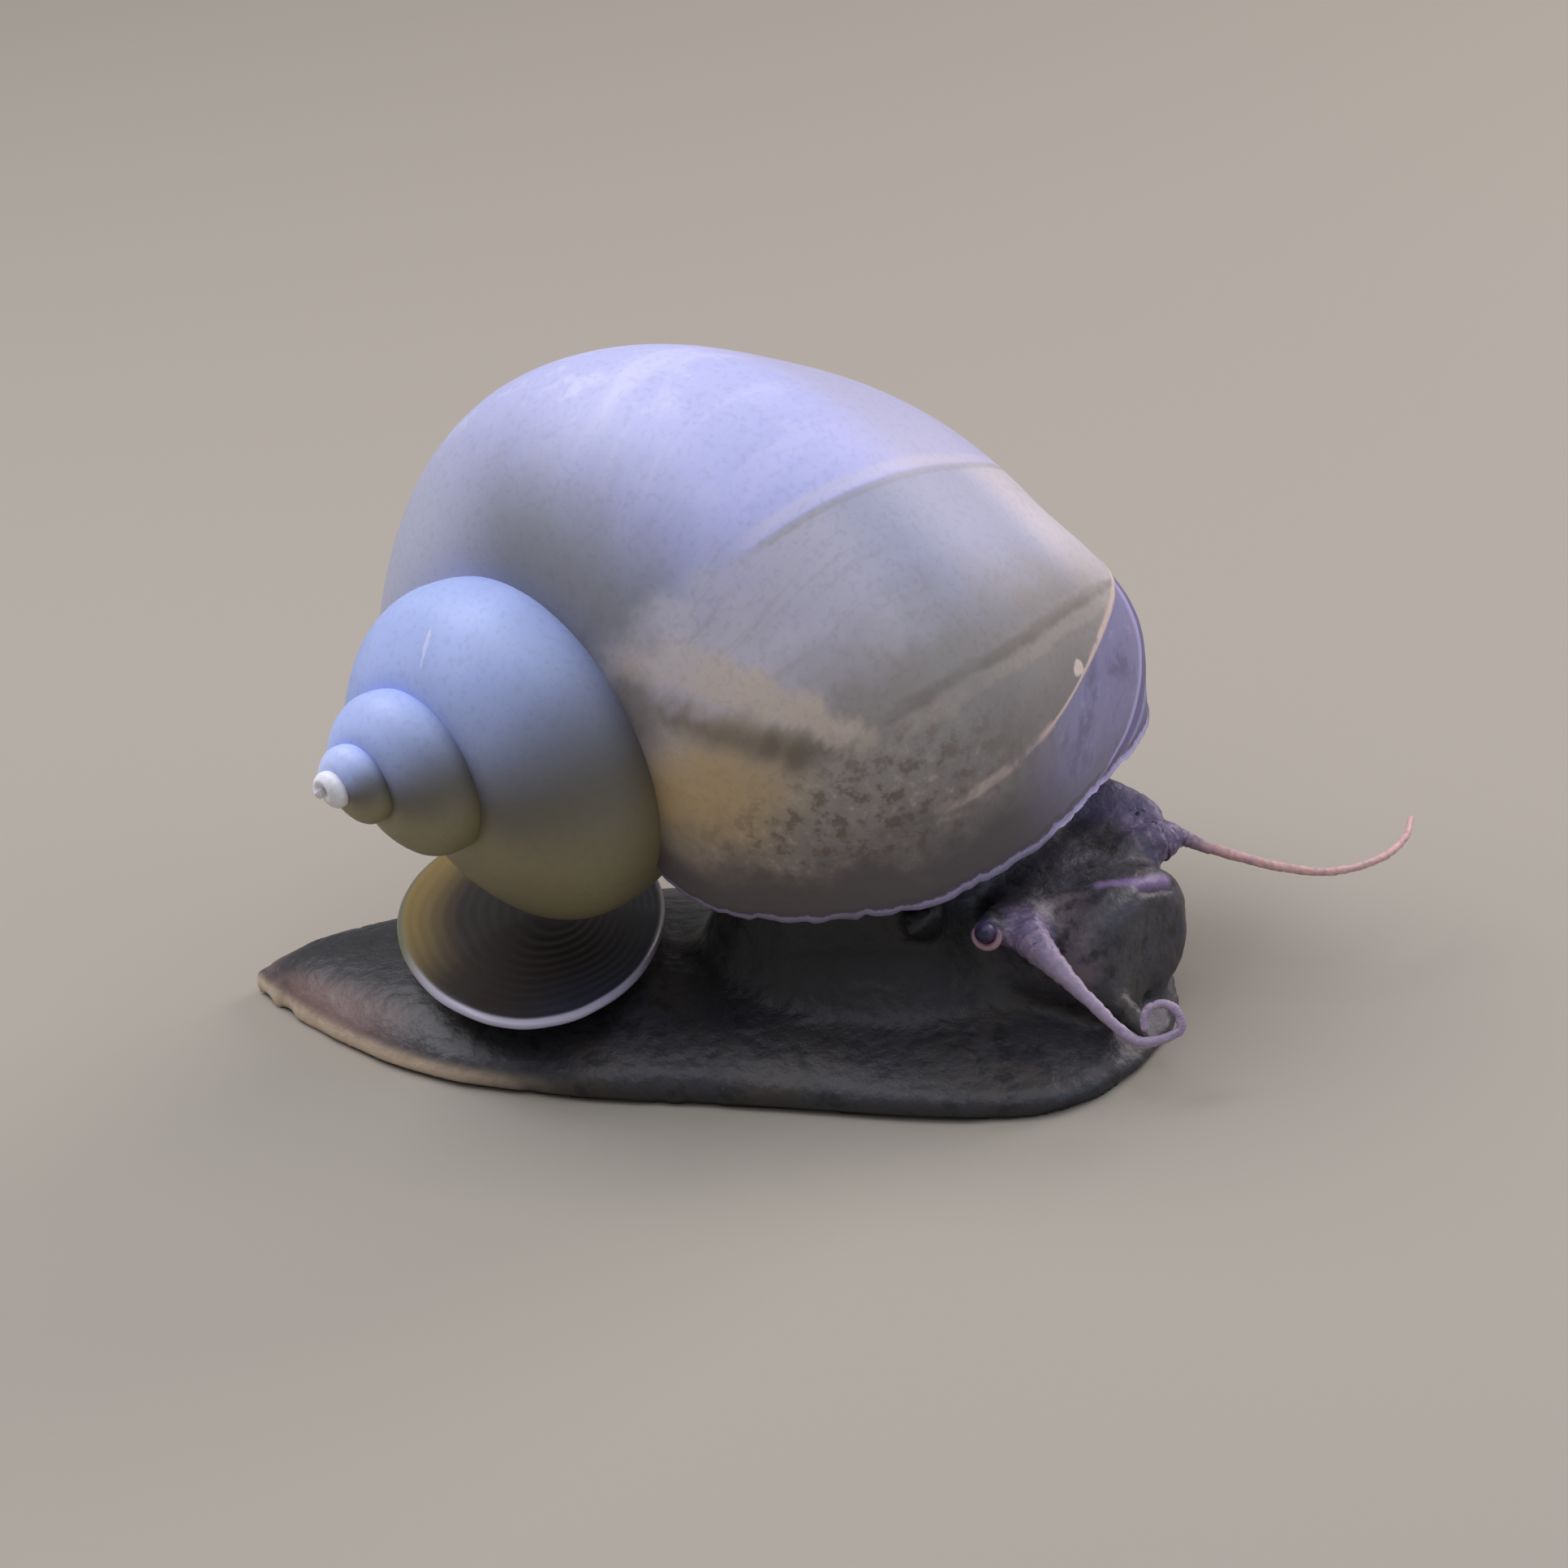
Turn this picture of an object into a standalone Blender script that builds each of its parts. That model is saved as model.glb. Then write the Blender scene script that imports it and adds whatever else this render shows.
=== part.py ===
"""A crawling apple snail, life size: the shell with its operculum, and the soft body in its parts.

Frame: +X is the way the snail crawls, +Y its left, +Z up. The flat sole lies on Z = 0, and the
origin is under the middle of the whole animal. The sizes below are in millimetres and in a
working frame whose X starts at the tip of the tail and whose Y = 0 is the middle of the sole.
MM turns a size into Blender's metres.
"""

import math

import bmesh
import bpy
from mathutils import Matrix, Vector

MM = 0.001
TAU = 2 * math.pi

# The middle of the whole animal's box, in the working frame.
CENTRE_X = 31.6
CENTRE_Y = 1.65

# Parts that meet keep this much room between them.
GAP = 0.3

# Shell: a right-handed coil about its own axis. The section sizes hold at turn 0, and each
# full turn multiplies them by WHORL_GROWTH. Apex to base measures about 45 mm.
WHORL_GROWTH = 2.05
TURNS = 5.2
SECTION_OUT = 10.65
SECTION_HALF = 10.2
SECTION_BELOW = 26.9
SECTION_UP = 12.05
SECTION_DOWN = 15.85
SECTION_TILT = math.radians(4)
SQUARENESS = 0.043
PEAR = 0.018
PEAR_SIDE = math.radians(27)
LAST_TURN_WIDENING = 0.03
LIP_FLARE = 0.010
LIP_SWELLING = 0.042
LIP_FLARE_LENGTH = math.radians(60)
LIP_TURN = math.radians(26.4)
LIP_LEAN_TO_APEX = math.radians(6)
LIP_LEAN_INWARD = math.radians(15.8)
LIP_WALL = 0.9
RECESS_DEPTH = math.radians(32)

# How the shell is carried: the axis lies level and points back and to the right.
APEX = Vector((9.7, -13.8, 19.0))
SHELL_HEADING = math.radians(-129.1)
SHELL_TILT = math.radians(90.2)
SHELL_SPIN = math.radians(79.75)

# Foot: (X from the tail's tip, half width of the sole, height of the back).
FOOT_STATIONS = (
    (0.0, 0.5, 1.3),
    (1.2, 1.7, 2.0),
    (3.5, 3.7, 3.0),
    (6.0, 5.7, 3.4),
    (10.0, 8.3, 3.9),
    (14.5, 10.2, 4.2),
    (22.0, 11.3, 4.3),
    (32.0, 11.5, 4.4),
    (40.0, 11.9, 3.9),
    (46.0, 11.3, 2.7),
    (49.0, 9.0, 1.9),
    (51.0, 5.2, 1.3),
    (51.6, 2.6, 1.1),
)
FOOT_EDGE = 0.75
TAIL_END = 12.0
MIDDLE_END = 33.0

# Operculum: the horny door, carried on the tail with its long way across the body.
OPERCULUM_CENTRE = Vector((16.7, -1.0, 5.05))
OPERCULUM_HEADING = math.radians(18)
OPERCULUM_HALF_LENGTH = 11.3
OPERCULUM_HALF_WIDTH = 7.4
OPERCULUM_POINTED = 0.08
OPERCULUM_THICKNESS = 0.8
OPERCULUM_DISH = 0.35
OPERCULUM_ROLL = math.radians(2.5)
OPERCULUM_RING = 36
# Where the rings of each face lie, as shares of the way from the middle to the rim.
OPERCULUM_RIM = (0.3, 0.7, 0.94)

# Neck: the stalk that rises from the foot into the mouth of the shell.
NECK_FOOT_CENTRE = Vector((35.6, 1.0, 2.6))
NECK_FOOT_HALF_LENGTH = 11.0
NECK_FOOT_HALF_WIDTH = 9.0
NECK_FOOT_TURN = math.radians(-52)
NECK_WAIST = 0.10
NECK_INSET = 3.8

# Head: looks a little to the right. (distance along, half width, bottom, top) from HEAD_START.
HEAD_START = Vector((42.2, 2.7, 0.0))
HEAD_HEADING = math.radians(-24)
HEAD_STATIONS = (
    (-1.0, 5.9, 1.6, 8.9),
    (2.0, 6.1, 1.4, 9.3),
    (4.6, 5.7, 1.2, 8.9),
    (6.2, 5.2, 1.2, 8.8),
    (7.6, 5.1, 1.2, 8.9),
    (8.6, 4.7, 1.3, 8.6),
    (9.2, 3.6, 1.7, 7.7),
)
SNOUT_START = 6.0

# Tentacles, from the root inside the head to the tip: guide points and the radius at each.
TENTACLE_RIGHT = (
    (Vector((44.0, -1.9, 7.6)), 1.35),
    (Vector((45.0, -5.0, 7.7)), 1.15),
    (Vector((46.6, -6.5, 6.8)), 0.72),
    (Vector((48.4, -7.7, 5.6)), 0.46),
    (Vector((50.2, -8.7, 4.4)), 0.36),
    (Vector((51.5, -8.9, 3.75)), 0.33),
)
CURL_CENTRE = Vector((52.3, -8.2, 4.6))
CURL_RADIUS = 1.08
CURL_TIP_RADIUS = 0.85
CURL_LEAN = math.radians(25)
CURL_TURN = math.radians(15)
CURL_FROM = math.radians(-75)
CURL_TO = math.radians(195)
CURL_GUIDES = 7
TENTACLE_LEFT = (
    (Vector((47.4, 3.8, 7.2)), 1.5),
    (Vector((50.2, 5.6, 8.1)), 1.25),
    (Vector((51.25, 6.6, 7.85)), 0.60),
    (Vector((52.7, 6.3, 7.5)), 0.40),
    (Vector((55.0, 5.8, 7.1)), 0.33),
    (Vector((57.2, 5.8, 6.6)), 0.30),
    (Vector((59.4, 6.2, 6.3)), 0.28),
    (Vector((61.6, 7.7, 6.3)), 0.27),
    (Vector((62.8, 9.9, 6.5)), 0.26),
    (Vector((63.0, 11.6, 6.9)), 0.25),
)
TENTACLE_SIDES = 8

# Eyes on short stalks at the outer side of each tentacle's root.
EYE_RADIUS = 0.72
EYE_STALKS = {
    "right": ((Vector((43.6, -2.9, 7.7)), 1.25), (Vector((43.0, -6.2, 8.25)), 0.9)),
    "left": ((Vector((46.2, 5.4, 7.5)), 1.6), (Vector((48.5, 7.4, 8.1)), 1.0)),
}

# Labial palps: short horns at the two front corners of the snout.
LABIAL_PALPS = {
    "right": (Vector((48.6, -3.0, 3.4)), Vector((50.3, -5.0, 2.8)), Vector((51.7, -6.3, 1.9))),
    "left": (Vector((49.2, 2.4, 3.4)), Vector((50.3, 4.5, 2.9)), Vector((50.8, 5.7, 2.1))),
}
PALP_RADII = (1.1, 0.75, 0.32)

# Breathing siphon: a lobe of the neck's left side. The right lobe is only a low flap.
SIPHON = (Vector((42.0, 7.2, 8.2)), Vector((45.8, 8.7, 8.7)), Vector((49.4, 8.75, 8.65)))
SIPHON_RADII = (2.4, 1.8, 0.95)
RIGHT_LOBE = (Vector((39.6, -4.4, 8.4)), Vector((39.4, -6.4, 8.9)), Vector((39.2, -7.5, 8.7)))
RIGHT_LOBE_RADII = (1.3, 1.0, 0.6)


def clear_scene():
    for obj in list(bpy.data.objects):
        bpy.data.objects.remove(obj, do_unlink=True)


def material(name, colour, roughness):
    made = bpy.data.materials.new(name)
    made.use_nodes = True
    shader = made.node_tree.nodes["Principled BSDF"]
    shader.inputs["Base Color"].default_value = (*colour, 1)
    shader.inputs["Roughness"].default_value = roughness
    shader.inputs["Metallic"].default_value = 0
    return made


def smooth_between(before, start, end, after, part):
    """Catmull-Rom: the curve from start to end that also heeds the points on either side."""
    square = part * part
    cube = square * part
    return 0.5 * (
        2 * start
        + (end - before) * part
        + (2 * before - 5 * start + 4 * end - after) * square
        + (3 * start - before - 3 * end + after) * cube
    )


def stations_at(stations, place):
    """The row of a station table at any place along it, read from a smooth curve."""
    last = len(stations) - 2
    index = 0
    while index < last and stations[index + 1][0] < place:
        index += 1
    start, end = stations[index], stations[index + 1]
    before, after = stations[max(index - 1, 0)], stations[min(index + 2, last + 1)]
    part = (place - start[0]) / (end[0] - start[0])
    columns = range(1, len(start))
    return [smooth_between(before[c], start[c], end[c], after[c], part) for c in columns]


def smooth_path(guides, steps):
    """Points and radii along a smooth curve through guides of (point, radius)."""
    path = []
    last = len(guides) - 1
    for index in range(last):
        around = [guides[max(index - 1, 0)], guides[index], guides[index + 1]]
        around.append(guides[min(index + 2, last)])
        for step in range(steps):
            part = step / steps
            point = smooth_between(*[guide[0] for guide in around], part)
            path.append((point, smooth_between(*[guide[1] for guide in around], part)))
    path.append(guides[last])
    return path


def loft(rings):
    """A closed skin over rings of points, with a fan over the first and the last ring."""
    bm = bmesh.new()
    loops = [[bm.verts.new(point * MM) for point in ring] for ring in rings]
    count = len(rings[0])
    for near, far in zip(loops, loops[1:]):
        for i in range(count):
            j = (i + 1) % count
            bm.faces.new((near[i], near[j], far[j], far[i]))
    for ring in (loops[0], loops[-1]):
        middle = bm.verts.new(sum((vert.co for vert in ring), Vector()) / count)
        for i in range(count):
            bm.faces.new((ring[i], ring[(i + 1) % count], middle))
    bmesh.ops.recalc_face_normals(bm, faces=bm.faces)
    return bm


def add_object(name, bm, finish, parent):
    mesh = bpy.data.meshes.new(name)
    bm.to_mesh(mesh)
    bm.free()
    mesh.materials.append(finish)
    mesh.shade_smooth()
    obj = bpy.data.objects.new(name, mesh)
    obj.parent = parent
    bpy.context.scene.collection.objects.link(obj)
    return obj


def add_cutter(name, bm, parent):
    cutter = add_object("cutter_" + name, bm, None, parent)
    cutter.hide_render = True
    cutter.display_type = "WIRE"
    return cutter


def cut(obj, *cutters):
    for cutter in cutters:
        away = obj.modifiers.new("clear of " + cutter.name, "BOOLEAN")
        away.operation = "DIFFERENCE"
        away.solver = "EXACT"
        away.object = cutter


def tube(path, sides, extra=0.0):
    """A round tube along (point, radius) pairs, turned as little as possible on the way."""
    directions = []
    for index in range(len(path)):
        before = path[max(index - 1, 0)][0]
        after = path[min(index + 1, len(path) - 1)][0]
        directions.append((after - before).normalized())
    side = directions[0].cross(Vector((0, 0, 1))).normalized()
    rings = []
    for (point, radius), direction in zip(path, directions):
        side = (side - direction * side.dot(direction)).normalized()
        other = direction.cross(side)
        turns = [TAU * i / sides for i in range(sides)]
        size = radius + extra
        rings.append([point + size * (math.cos(t) * side + math.sin(t) * other) for t in turns])
    return loft(rings)


# ---------------------------------------------------------------- shell


def lip_turn(around):
    """How far the coil has turned where it ends in the lip, at this place round the section."""
    lean_to_apex = LIP_LEAN_TO_APEX * math.sin(around)
    return LIP_TURN + lean_to_apex - LIP_LEAN_INWARD * math.cos(around)


def shell_frame():
    heading = Matrix.Rotation(SHELL_HEADING, 4, "Z")
    tilt = Matrix.Rotation(SHELL_TILT, 4, "Y")
    spin = Matrix.Rotation(SHELL_SPIN, 4, "Z")
    return Matrix.Translation(APEX) @ heading @ tilt @ spin


def whorl_point(turn, around):
    """A point of the coil, placed on the animal. around is 0 on the outside of the coil and a
    quarter turn on the side of the apex."""
    size = WHORL_GROWTH ** (turn / TAU)
    shape = 1 + SQUARENESS * math.cos(4 * around) + PEAR * math.cos(3 * (around - PEAR_SIDE))
    reach = SECTION_UP if math.sin(around) > 0 else SECTION_DOWN
    across = SECTION_HALF * shape * math.cos(around)
    along = reach * shape * math.sin(around)
    out = SECTION_OUT + across * math.cos(SECTION_TILT) - along * math.sin(SECTION_TILT)
    up = -SECTION_BELOW + across * math.sin(SECTION_TILT) + along * math.cos(SECTION_TILT)
    inner, top = SECTION_OUT - SECTION_HALF, SECTION_UP - SECTION_BELOW
    near_lip = min(1.0, max(0.0, 1 + (turn - lip_turn(around)) / LIP_FLARE_LENGTH))
    wider = 1 + LAST_TURN_WIDENING * max(0.0, turn / TAU + 1) ** 2
    wider += LIP_FLARE * near_lip**2 + LIP_SWELLING * math.sin(math.pi * near_lip) ** 2
    out = inner + (out - inner) * wider
    up = top + (up - top) * wider
    local = Vector((out * math.cos(turn), -out * math.sin(turn), up)) * size
    return shell_frame() @ local


def section(depth, count, inset=0.0):
    """One ring round the whorl, this far back from the lip all round, drawn in toward its
    middle by inset, or out if that is negative."""
    turns = [TAU * i / count for i in range(count)]
    ring = [whorl_point(lip_turn(around) - depth, around) for around in turns]
    middle = sum(ring, Vector()) / count
    return [point + (middle - point).normalized() * inset for point in ring]


def moved(ring, shift):
    return [point + shift for point in ring]


def depths_to(deepest, steps):
    """Even steps from the deepest place out to the lip."""
    return [deepest * (1 - step / steps) for step in range(steps + 1)]


def mouth_normal():
    """The direction in which the mouth of the shell opens."""
    ring = section(0, 48)
    middle = sum(ring, Vector()) / len(ring)
    normal = Vector()
    for here, there in zip(ring, ring[1:] + ring[:1]):
        normal += (here - middle).cross(there - middle)
    normal.normalize()
    return normal if normal.z < 0 else -normal


SHELL_RING = 64
SHELL_STEPS = 260
SHELL_VOXEL = 0.4
SHELL_KEPT = 0.040
MOUTH_RING = 32
# The cutter of the mouth runs this far past the lip.
PAST_THE_LIP = 2.0
# The mantle keeps this room to the shell round it, and reaches this far in behind the lip.
MANTLE_GAP = 0.36
MANTLE_DEPTH = math.radians(27.5)


def build_shell(finish, parent, outward):
    """The whole coil as one tube, fused where the whorls run into one another, then hollowed
    behind the lip."""
    rings = []
    for step in range(SHELL_STEPS + 1):
        share = step / SHELL_STEPS
        size = share + (1 - share) * WHORL_GROWTH**-TURNS
        rings.append(section(-TAU * math.log(size) / math.log(WHORL_GROWTH), SHELL_RING))
    shell = add_object("shell", loft(rings), finish, parent)
    fuse = shell.modifiers.new("fuse the whorls", "REMESH")
    fuse.mode = "VOXEL"
    fuse.voxel_size = SHELL_VOXEL * MM
    thin = shell.modifiers.new("fewer faces", "DECIMATE")
    thin.ratio = SHELL_KEPT
    rings = [section(depth, MOUTH_RING, LIP_WALL) for depth in depths_to(RECESS_DEPTH, 6)]
    rings.append(moved(rings[-1], outward * PAST_THE_LIP))
    cut(shell, add_cutter("recess", loft(rings), parent))
    return shell


def mouth_keepout(parent, outward):
    """All that lies inside the last part of the whorl, closed just outside the mouth."""
    depths = depths_to(2.2 * RECESS_DEPTH, 9)
    rings = [section(depth, MOUTH_RING, -MANTLE_GAP) for depth in depths]
    rings.append(moved(rings[-1], outward * GAP))
    return add_cutter("mouth", loft(rings), parent)


def build_mantle(finish, parent, outward):
    """The soft collar that lines the mouth of the shell."""
    inset = LIP_WALL + MANTLE_GAP
    depths = depths_to(MANTLE_DEPTH, 5)
    rings = [section(depth, MOUTH_RING, inset) for depth in depths]
    rings[0] = moved(section(depths[0], MOUTH_RING, 1.5 * inset), outward * GAP)
    return add_object("mantle", loft(rings), finish, parent)


# ---------------------------------------------------------------- operculum


def build_operculum(finish, parent):
    """A thin dished plate, rounded at the rim and a little pointed at its right end."""
    under = [(share, -OPERCULUM_THICKNESS / 2) for share in OPERCULUM_RIM]
    upper = [(share, OPERCULUM_THICKNESS / 2) for share in reversed(OPERCULUM_RIM)]
    profile = [*under, (1.0, 0.0), *upper]
    turned = Matrix.Rotation(OPERCULUM_HEADING, 4, "Z") @ Matrix.Rotation(OPERCULUM_ROLL, 4, "X")
    placed = Matrix.Translation(OPERCULUM_CENTRE) @ turned
    rings = []
    for out, height in profile:
        ring = []
        for i in range(OPERCULUM_RING):
            turn = TAU * i / OPERCULUM_RING
            x = out * math.cos(turn) * (1 + OPERCULUM_POINTED * math.sin(turn))
            y = out * math.sin(turn)
            z = height + OPERCULUM_DISH * out * out
            ring.append(placed @ Vector((x * OPERCULUM_HALF_WIDTH, y * OPERCULUM_HALF_LENGTH, z)))
        rings.append(ring)
    return add_object("operculum", loft(rings), finish, parent)


# ---------------------------------------------------------------- foot and neck

FOOT_RING = 24
FOOT_KEEPOUT_RINGS = 30
# How soon the sole turns flat under the foot's rounded edge, and how soon the back rises.
SOLE_FLATNESS = 2.6
BACK_SLOPE = 1.15


def foot_ring(x, extra=0.0):
    """One cross-section of the foot: a flat sole, thin edges and a rounded back."""
    half_width, height = stations_at(FOOT_STATIONS, x)
    edge = min(FOOT_EDGE, 0.5 * height)
    ring = []
    for i in range(FOOT_RING):
        turn = TAU * i / FOOT_RING
        rise = math.sin(turn)
        if rise >= 0:
            z = edge + (height - edge) * rise**BACK_SLOPE + extra
        else:
            z = edge * max(0.0, 1 + SOLE_FLATNESS * rise) - extra
        ring.append(Vector((x, (half_width + extra) * math.cos(turn), z)))
    return ring


def build_foot(finish, parent):
    """The foot in three lengths, parted by two thin upright cuts."""
    front = FOOT_STATIONS[-1][0]
    lengths = {
        "tail": (0.0, TAIL_END - GAP / 2, 9),
        "foot_middle": (TAIL_END + GAP / 2, MIDDLE_END - GAP / 2, 7),
        "foot_front": (MIDDLE_END + GAP / 2, front, 11),
    }
    for name, (start, end, steps) in lengths.items():
        rings = [foot_ring(start + (end - start) * i / steps) for i in range(steps + 1)]
        add_object(name, loft(rings), finish, parent)
    places = [front * i / FOOT_KEEPOUT_RINGS for i in range(FOOT_KEEPOUT_RINGS + 1)]
    rings = [foot_ring(place, GAP) for place in places]
    return add_cutter("foot", loft(rings), parent)


NECK_RING = 32
NECK_STEPS = 7


def neck_rings(extra=0.0):
    """Rings from an oval on the foot up to the mouth of the shell and a little way into it."""
    rings = []
    mouth = section(0, NECK_RING, NECK_INSET)
    deeper = section(0.5 * RECESS_DEPTH, NECK_RING, NECK_INSET)
    for step in range(NECK_STEPS + 1):
        share = step / NECK_STEPS
        ring = []
        for i in range(NECK_RING):
            turn = NECK_FOOT_TURN - TAU * i / NECK_RING
            x = math.cos(turn) * NECK_FOOT_HALF_LENGTH
            y = math.sin(turn) * NECK_FOOT_HALF_WIDTH
            ring.append((NECK_FOOT_CENTRE + Vector((x, y, 0))).lerp(mouth[i], share))
        rings.append(ring)
    rings.append(deeper)
    grown = []
    for step, ring in enumerate(rings):
        middle = sum(ring, Vector()) / NECK_RING
        waist = 1 - NECK_WAIST * math.sin(math.pi * min(1.0, step / NECK_STEPS))
        grown.append([])
        for point in ring:
            out = (point - middle) * waist
            grown[-1].append(middle + out + out.normalized() * extra)
    return grown


# ---------------------------------------------------------------- head

HEAD_RING = 24
# 2 would make each cross-section an ellipse. More fills its corners.
HEAD_FULLNESS = 2.4


def head_ring(along, extra=0.0):
    """One cross-section of the head or snout, square to the way it looks."""
    half_width, bottom, top = stations_at(HEAD_STATIONS, along)
    forward = Vector((math.cos(HEAD_HEADING), math.sin(HEAD_HEADING), 0))
    left = Vector((-forward.y, forward.x, 0))
    middle = HEAD_START + forward * along + Vector((0, 0, (top + bottom) / 2))
    ring = []
    for i in range(HEAD_RING):
        turn = TAU * i / HEAD_RING
        across, rise = math.cos(turn), math.sin(turn)
        fullness = (abs(across) ** HEAD_FULLNESS + abs(rise) ** HEAD_FULLNESS) ** (-1 / HEAD_FULLNESS)
        high = ((top - bottom) / 2 + extra) * rise * fullness
        ring.append(middle + left * across * fullness * (half_width + extra) + Vector((0, 0, high)))
    return ring


def build_head(finish, parent, cutters):
    first, last = HEAD_STATIONS[0][0], HEAD_STATIONS[-1][0]
    lengths = {
        "head": (first, SNOUT_START - GAP / 2, 6),
        "snout": (SNOUT_START + GAP / 2, last, 5),
    }
    for name, (start, end, steps) in lengths.items():
        rings = [head_ring(start + (end - start) * i / steps) for i in range(steps + 1)]
        cut(add_object(name, loft(rings), finish, parent), *cutters)
    rings = [head_ring(first + (last - first) * i / 12, GAP) for i in range(13)]
    forward = Vector((math.cos(HEAD_HEADING), math.sin(HEAD_HEADING), 0))
    rings.append([point + forward * GAP for point in rings[-1]])
    return add_cutter("head", loft(rings), parent)


def curl_guides():
    """Guide points of the hook at the end of the right tentacle, in a plane that leans back."""
    across = Vector((math.cos(CURL_TURN), math.sin(CURL_TURN), 0))
    upward = Vector((math.sin(CURL_TURN), -math.cos(CURL_TURN), 0)) * -math.sin(CURL_LEAN)
    upward.z = math.cos(CURL_LEAN)
    guides = []
    for i in range(1, CURL_GUIDES + 1):
        share = i / CURL_GUIDES
        turn = CURL_FROM + (CURL_TO - CURL_FROM) * share
        radius = CURL_RADIUS + (CURL_TIP_RADIUS - CURL_RADIUS) * share
        point = CURL_CENTRE + radius * (math.cos(turn) * across + math.sin(turn) * upward)
        guides.append((point, 0.32 - 0.06 * share))
    return guides


def part_path(path, cuts):
    """Divides a path at the given steps and leaves a gap at each cut."""
    lengths = []
    for start, end in zip([0, *cuts], [*cuts, len(path) - 1]):
        piece = path[start : end + 1]
        if start:
            (here, radius), (there, _) = piece[0], piece[1]
            piece[0] = (here + (there - here).normalized() * GAP, radius)
        lengths.append(piece)
    return lengths


def build_tentacle(side, guides, steps, cuts, names, finish, parent, cutters):
    path = smooth_path(guides, steps)
    for name, piece in zip(names, part_path(path, cuts)):
        obj = add_object(f"tentacle_{side}_{name}", tube(piece, TENTACLE_SIDES), finish, parent)
        if name == "base":
            cut(obj, *cutters)
    return add_cutter(f"tentacle_{side}", tube(path[: cuts[0]], 12, GAP), parent)


def eye_ball(side, radius):
    (root, _), (end, _) = EYE_STALKS[side]
    outward = ((end - root).normalized() + Vector((0, 0, 0.5))) * EYE_RADIUS * 0.5
    bm = bmesh.new()
    bmesh.ops.create_uvsphere(bm, u_segments=12, v_segments=7, radius=radius * MM)
    bmesh.ops.translate(bm, vec=(end + outward) * MM, verts=bm.verts)
    return bm


def build_eye(side, skin, eye_finish, parent, cutters):
    """The stalk and the eye set in its end. Returns what keeps other pieces clear of both."""
    path = smooth_path(EYE_STALKS[side], 3)
    stalk = add_object("eye_stalk_" + side, tube(path, 12), skin, parent)
    add_object("eye_" + side, eye_ball(side, EYE_RADIUS), eye_finish, parent)
    socket = add_cutter("eye_" + side, eye_ball(side, EYE_RADIUS + GAP / 2), parent)
    cut(stalk, *cutters, socket)
    return socket, add_cutter("eye_stalk_" + side, tube(path, 12, GAP), parent)


def build_lobe(name, points, radii, sides, finish, parent, cutters):
    guides = list(zip(points, radii))
    cut(add_object(name, tube(smooth_path(guides, 3), sides), finish, parent), *cutters)


def main():
    clear_scene()
    bpy.context.scene.unit_settings.system = "METRIC"
    horn = material("blue grey shell", (0.22, 0.25, 0.42), 0.35)
    door = material("brown horny operculum", (0.05, 0.04, 0.03), 0.4)
    skin = material("blue black wet skin", (0.02, 0.02, 0.035), 0.35)
    dark_eye = material("dark eye", (0.01, 0.01, 0.012), 0.15)

    snail = bpy.data.objects.new("apple_snail", None)
    snail.location = Vector((-CENTRE_X, -CENTRE_Y, 0)) * MM
    bpy.context.scene.collection.objects.link(snail)

    outward = mouth_normal()
    build_shell(horn, snail, outward)
    mouth = mouth_keepout(snail, outward)
    build_mantle(skin, snail, outward)
    build_operculum(door, snail)
    foot = build_foot(skin, snail)
    neck = add_object("neck", loft(neck_rings()), skin, snail)
    cut(neck, foot, mouth)
    neck_room = add_cutter("neck", loft(neck_rings(GAP)), snail)
    head_room = build_head(skin, snail, (foot, neck_room, mouth))

    right_guides = list(TENTACLE_RIGHT) + curl_guides()
    names = ("base", "middle", "curl")
    rooms = (head_room, neck_room, mouth)
    right_root = build_tentacle("right", right_guides, 3, (8, 14), names, skin, snail, rooms)
    names = ("base", "middle", "tip")
    left_root = build_tentacle("left", TENTACLE_LEFT, 3, (8, 17), names, skin, snail, rooms)
    build_eye("right", skin, dark_eye, snail, (*rooms, right_root))
    left_eye = build_eye("left", skin, dark_eye, snail, (*rooms, left_root))
    for side, points in LABIAL_PALPS.items():
        build_lobe("labial_palp_" + side, points, PALP_RADII, 10, skin, snail, (head_room, foot))
    rooms = (neck_room, mouth, foot, head_room)
    beside = (*rooms, left_root, *left_eye)
    build_lobe("siphon", SIPHON, SIPHON_RADII, 16, skin, snail, beside)
    build_lobe("nuchal_lobe_right", RIGHT_LOBE, RIGHT_LOBE_RADII, 12, skin, snail, rooms)


main()
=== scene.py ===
# %% [markdown]
# # A crawling apple snail, as a still model
# An apple snail is a hard, coiled shell carried by a soft body that crawls on one flat sole.
# The solids of the model are already made, as plain shapes of the right size. This script gives
# them their looks: a finer shell, one skin over all of the flesh, the horny door on the tail and
# the two eyes. Each piece is made again in the place of its solid, so nothing has to be fitted.

# %% Load the frame
import math

import bmesh
import bpy
from mathutils import Matrix, Vector, kdtree, noise


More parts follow.
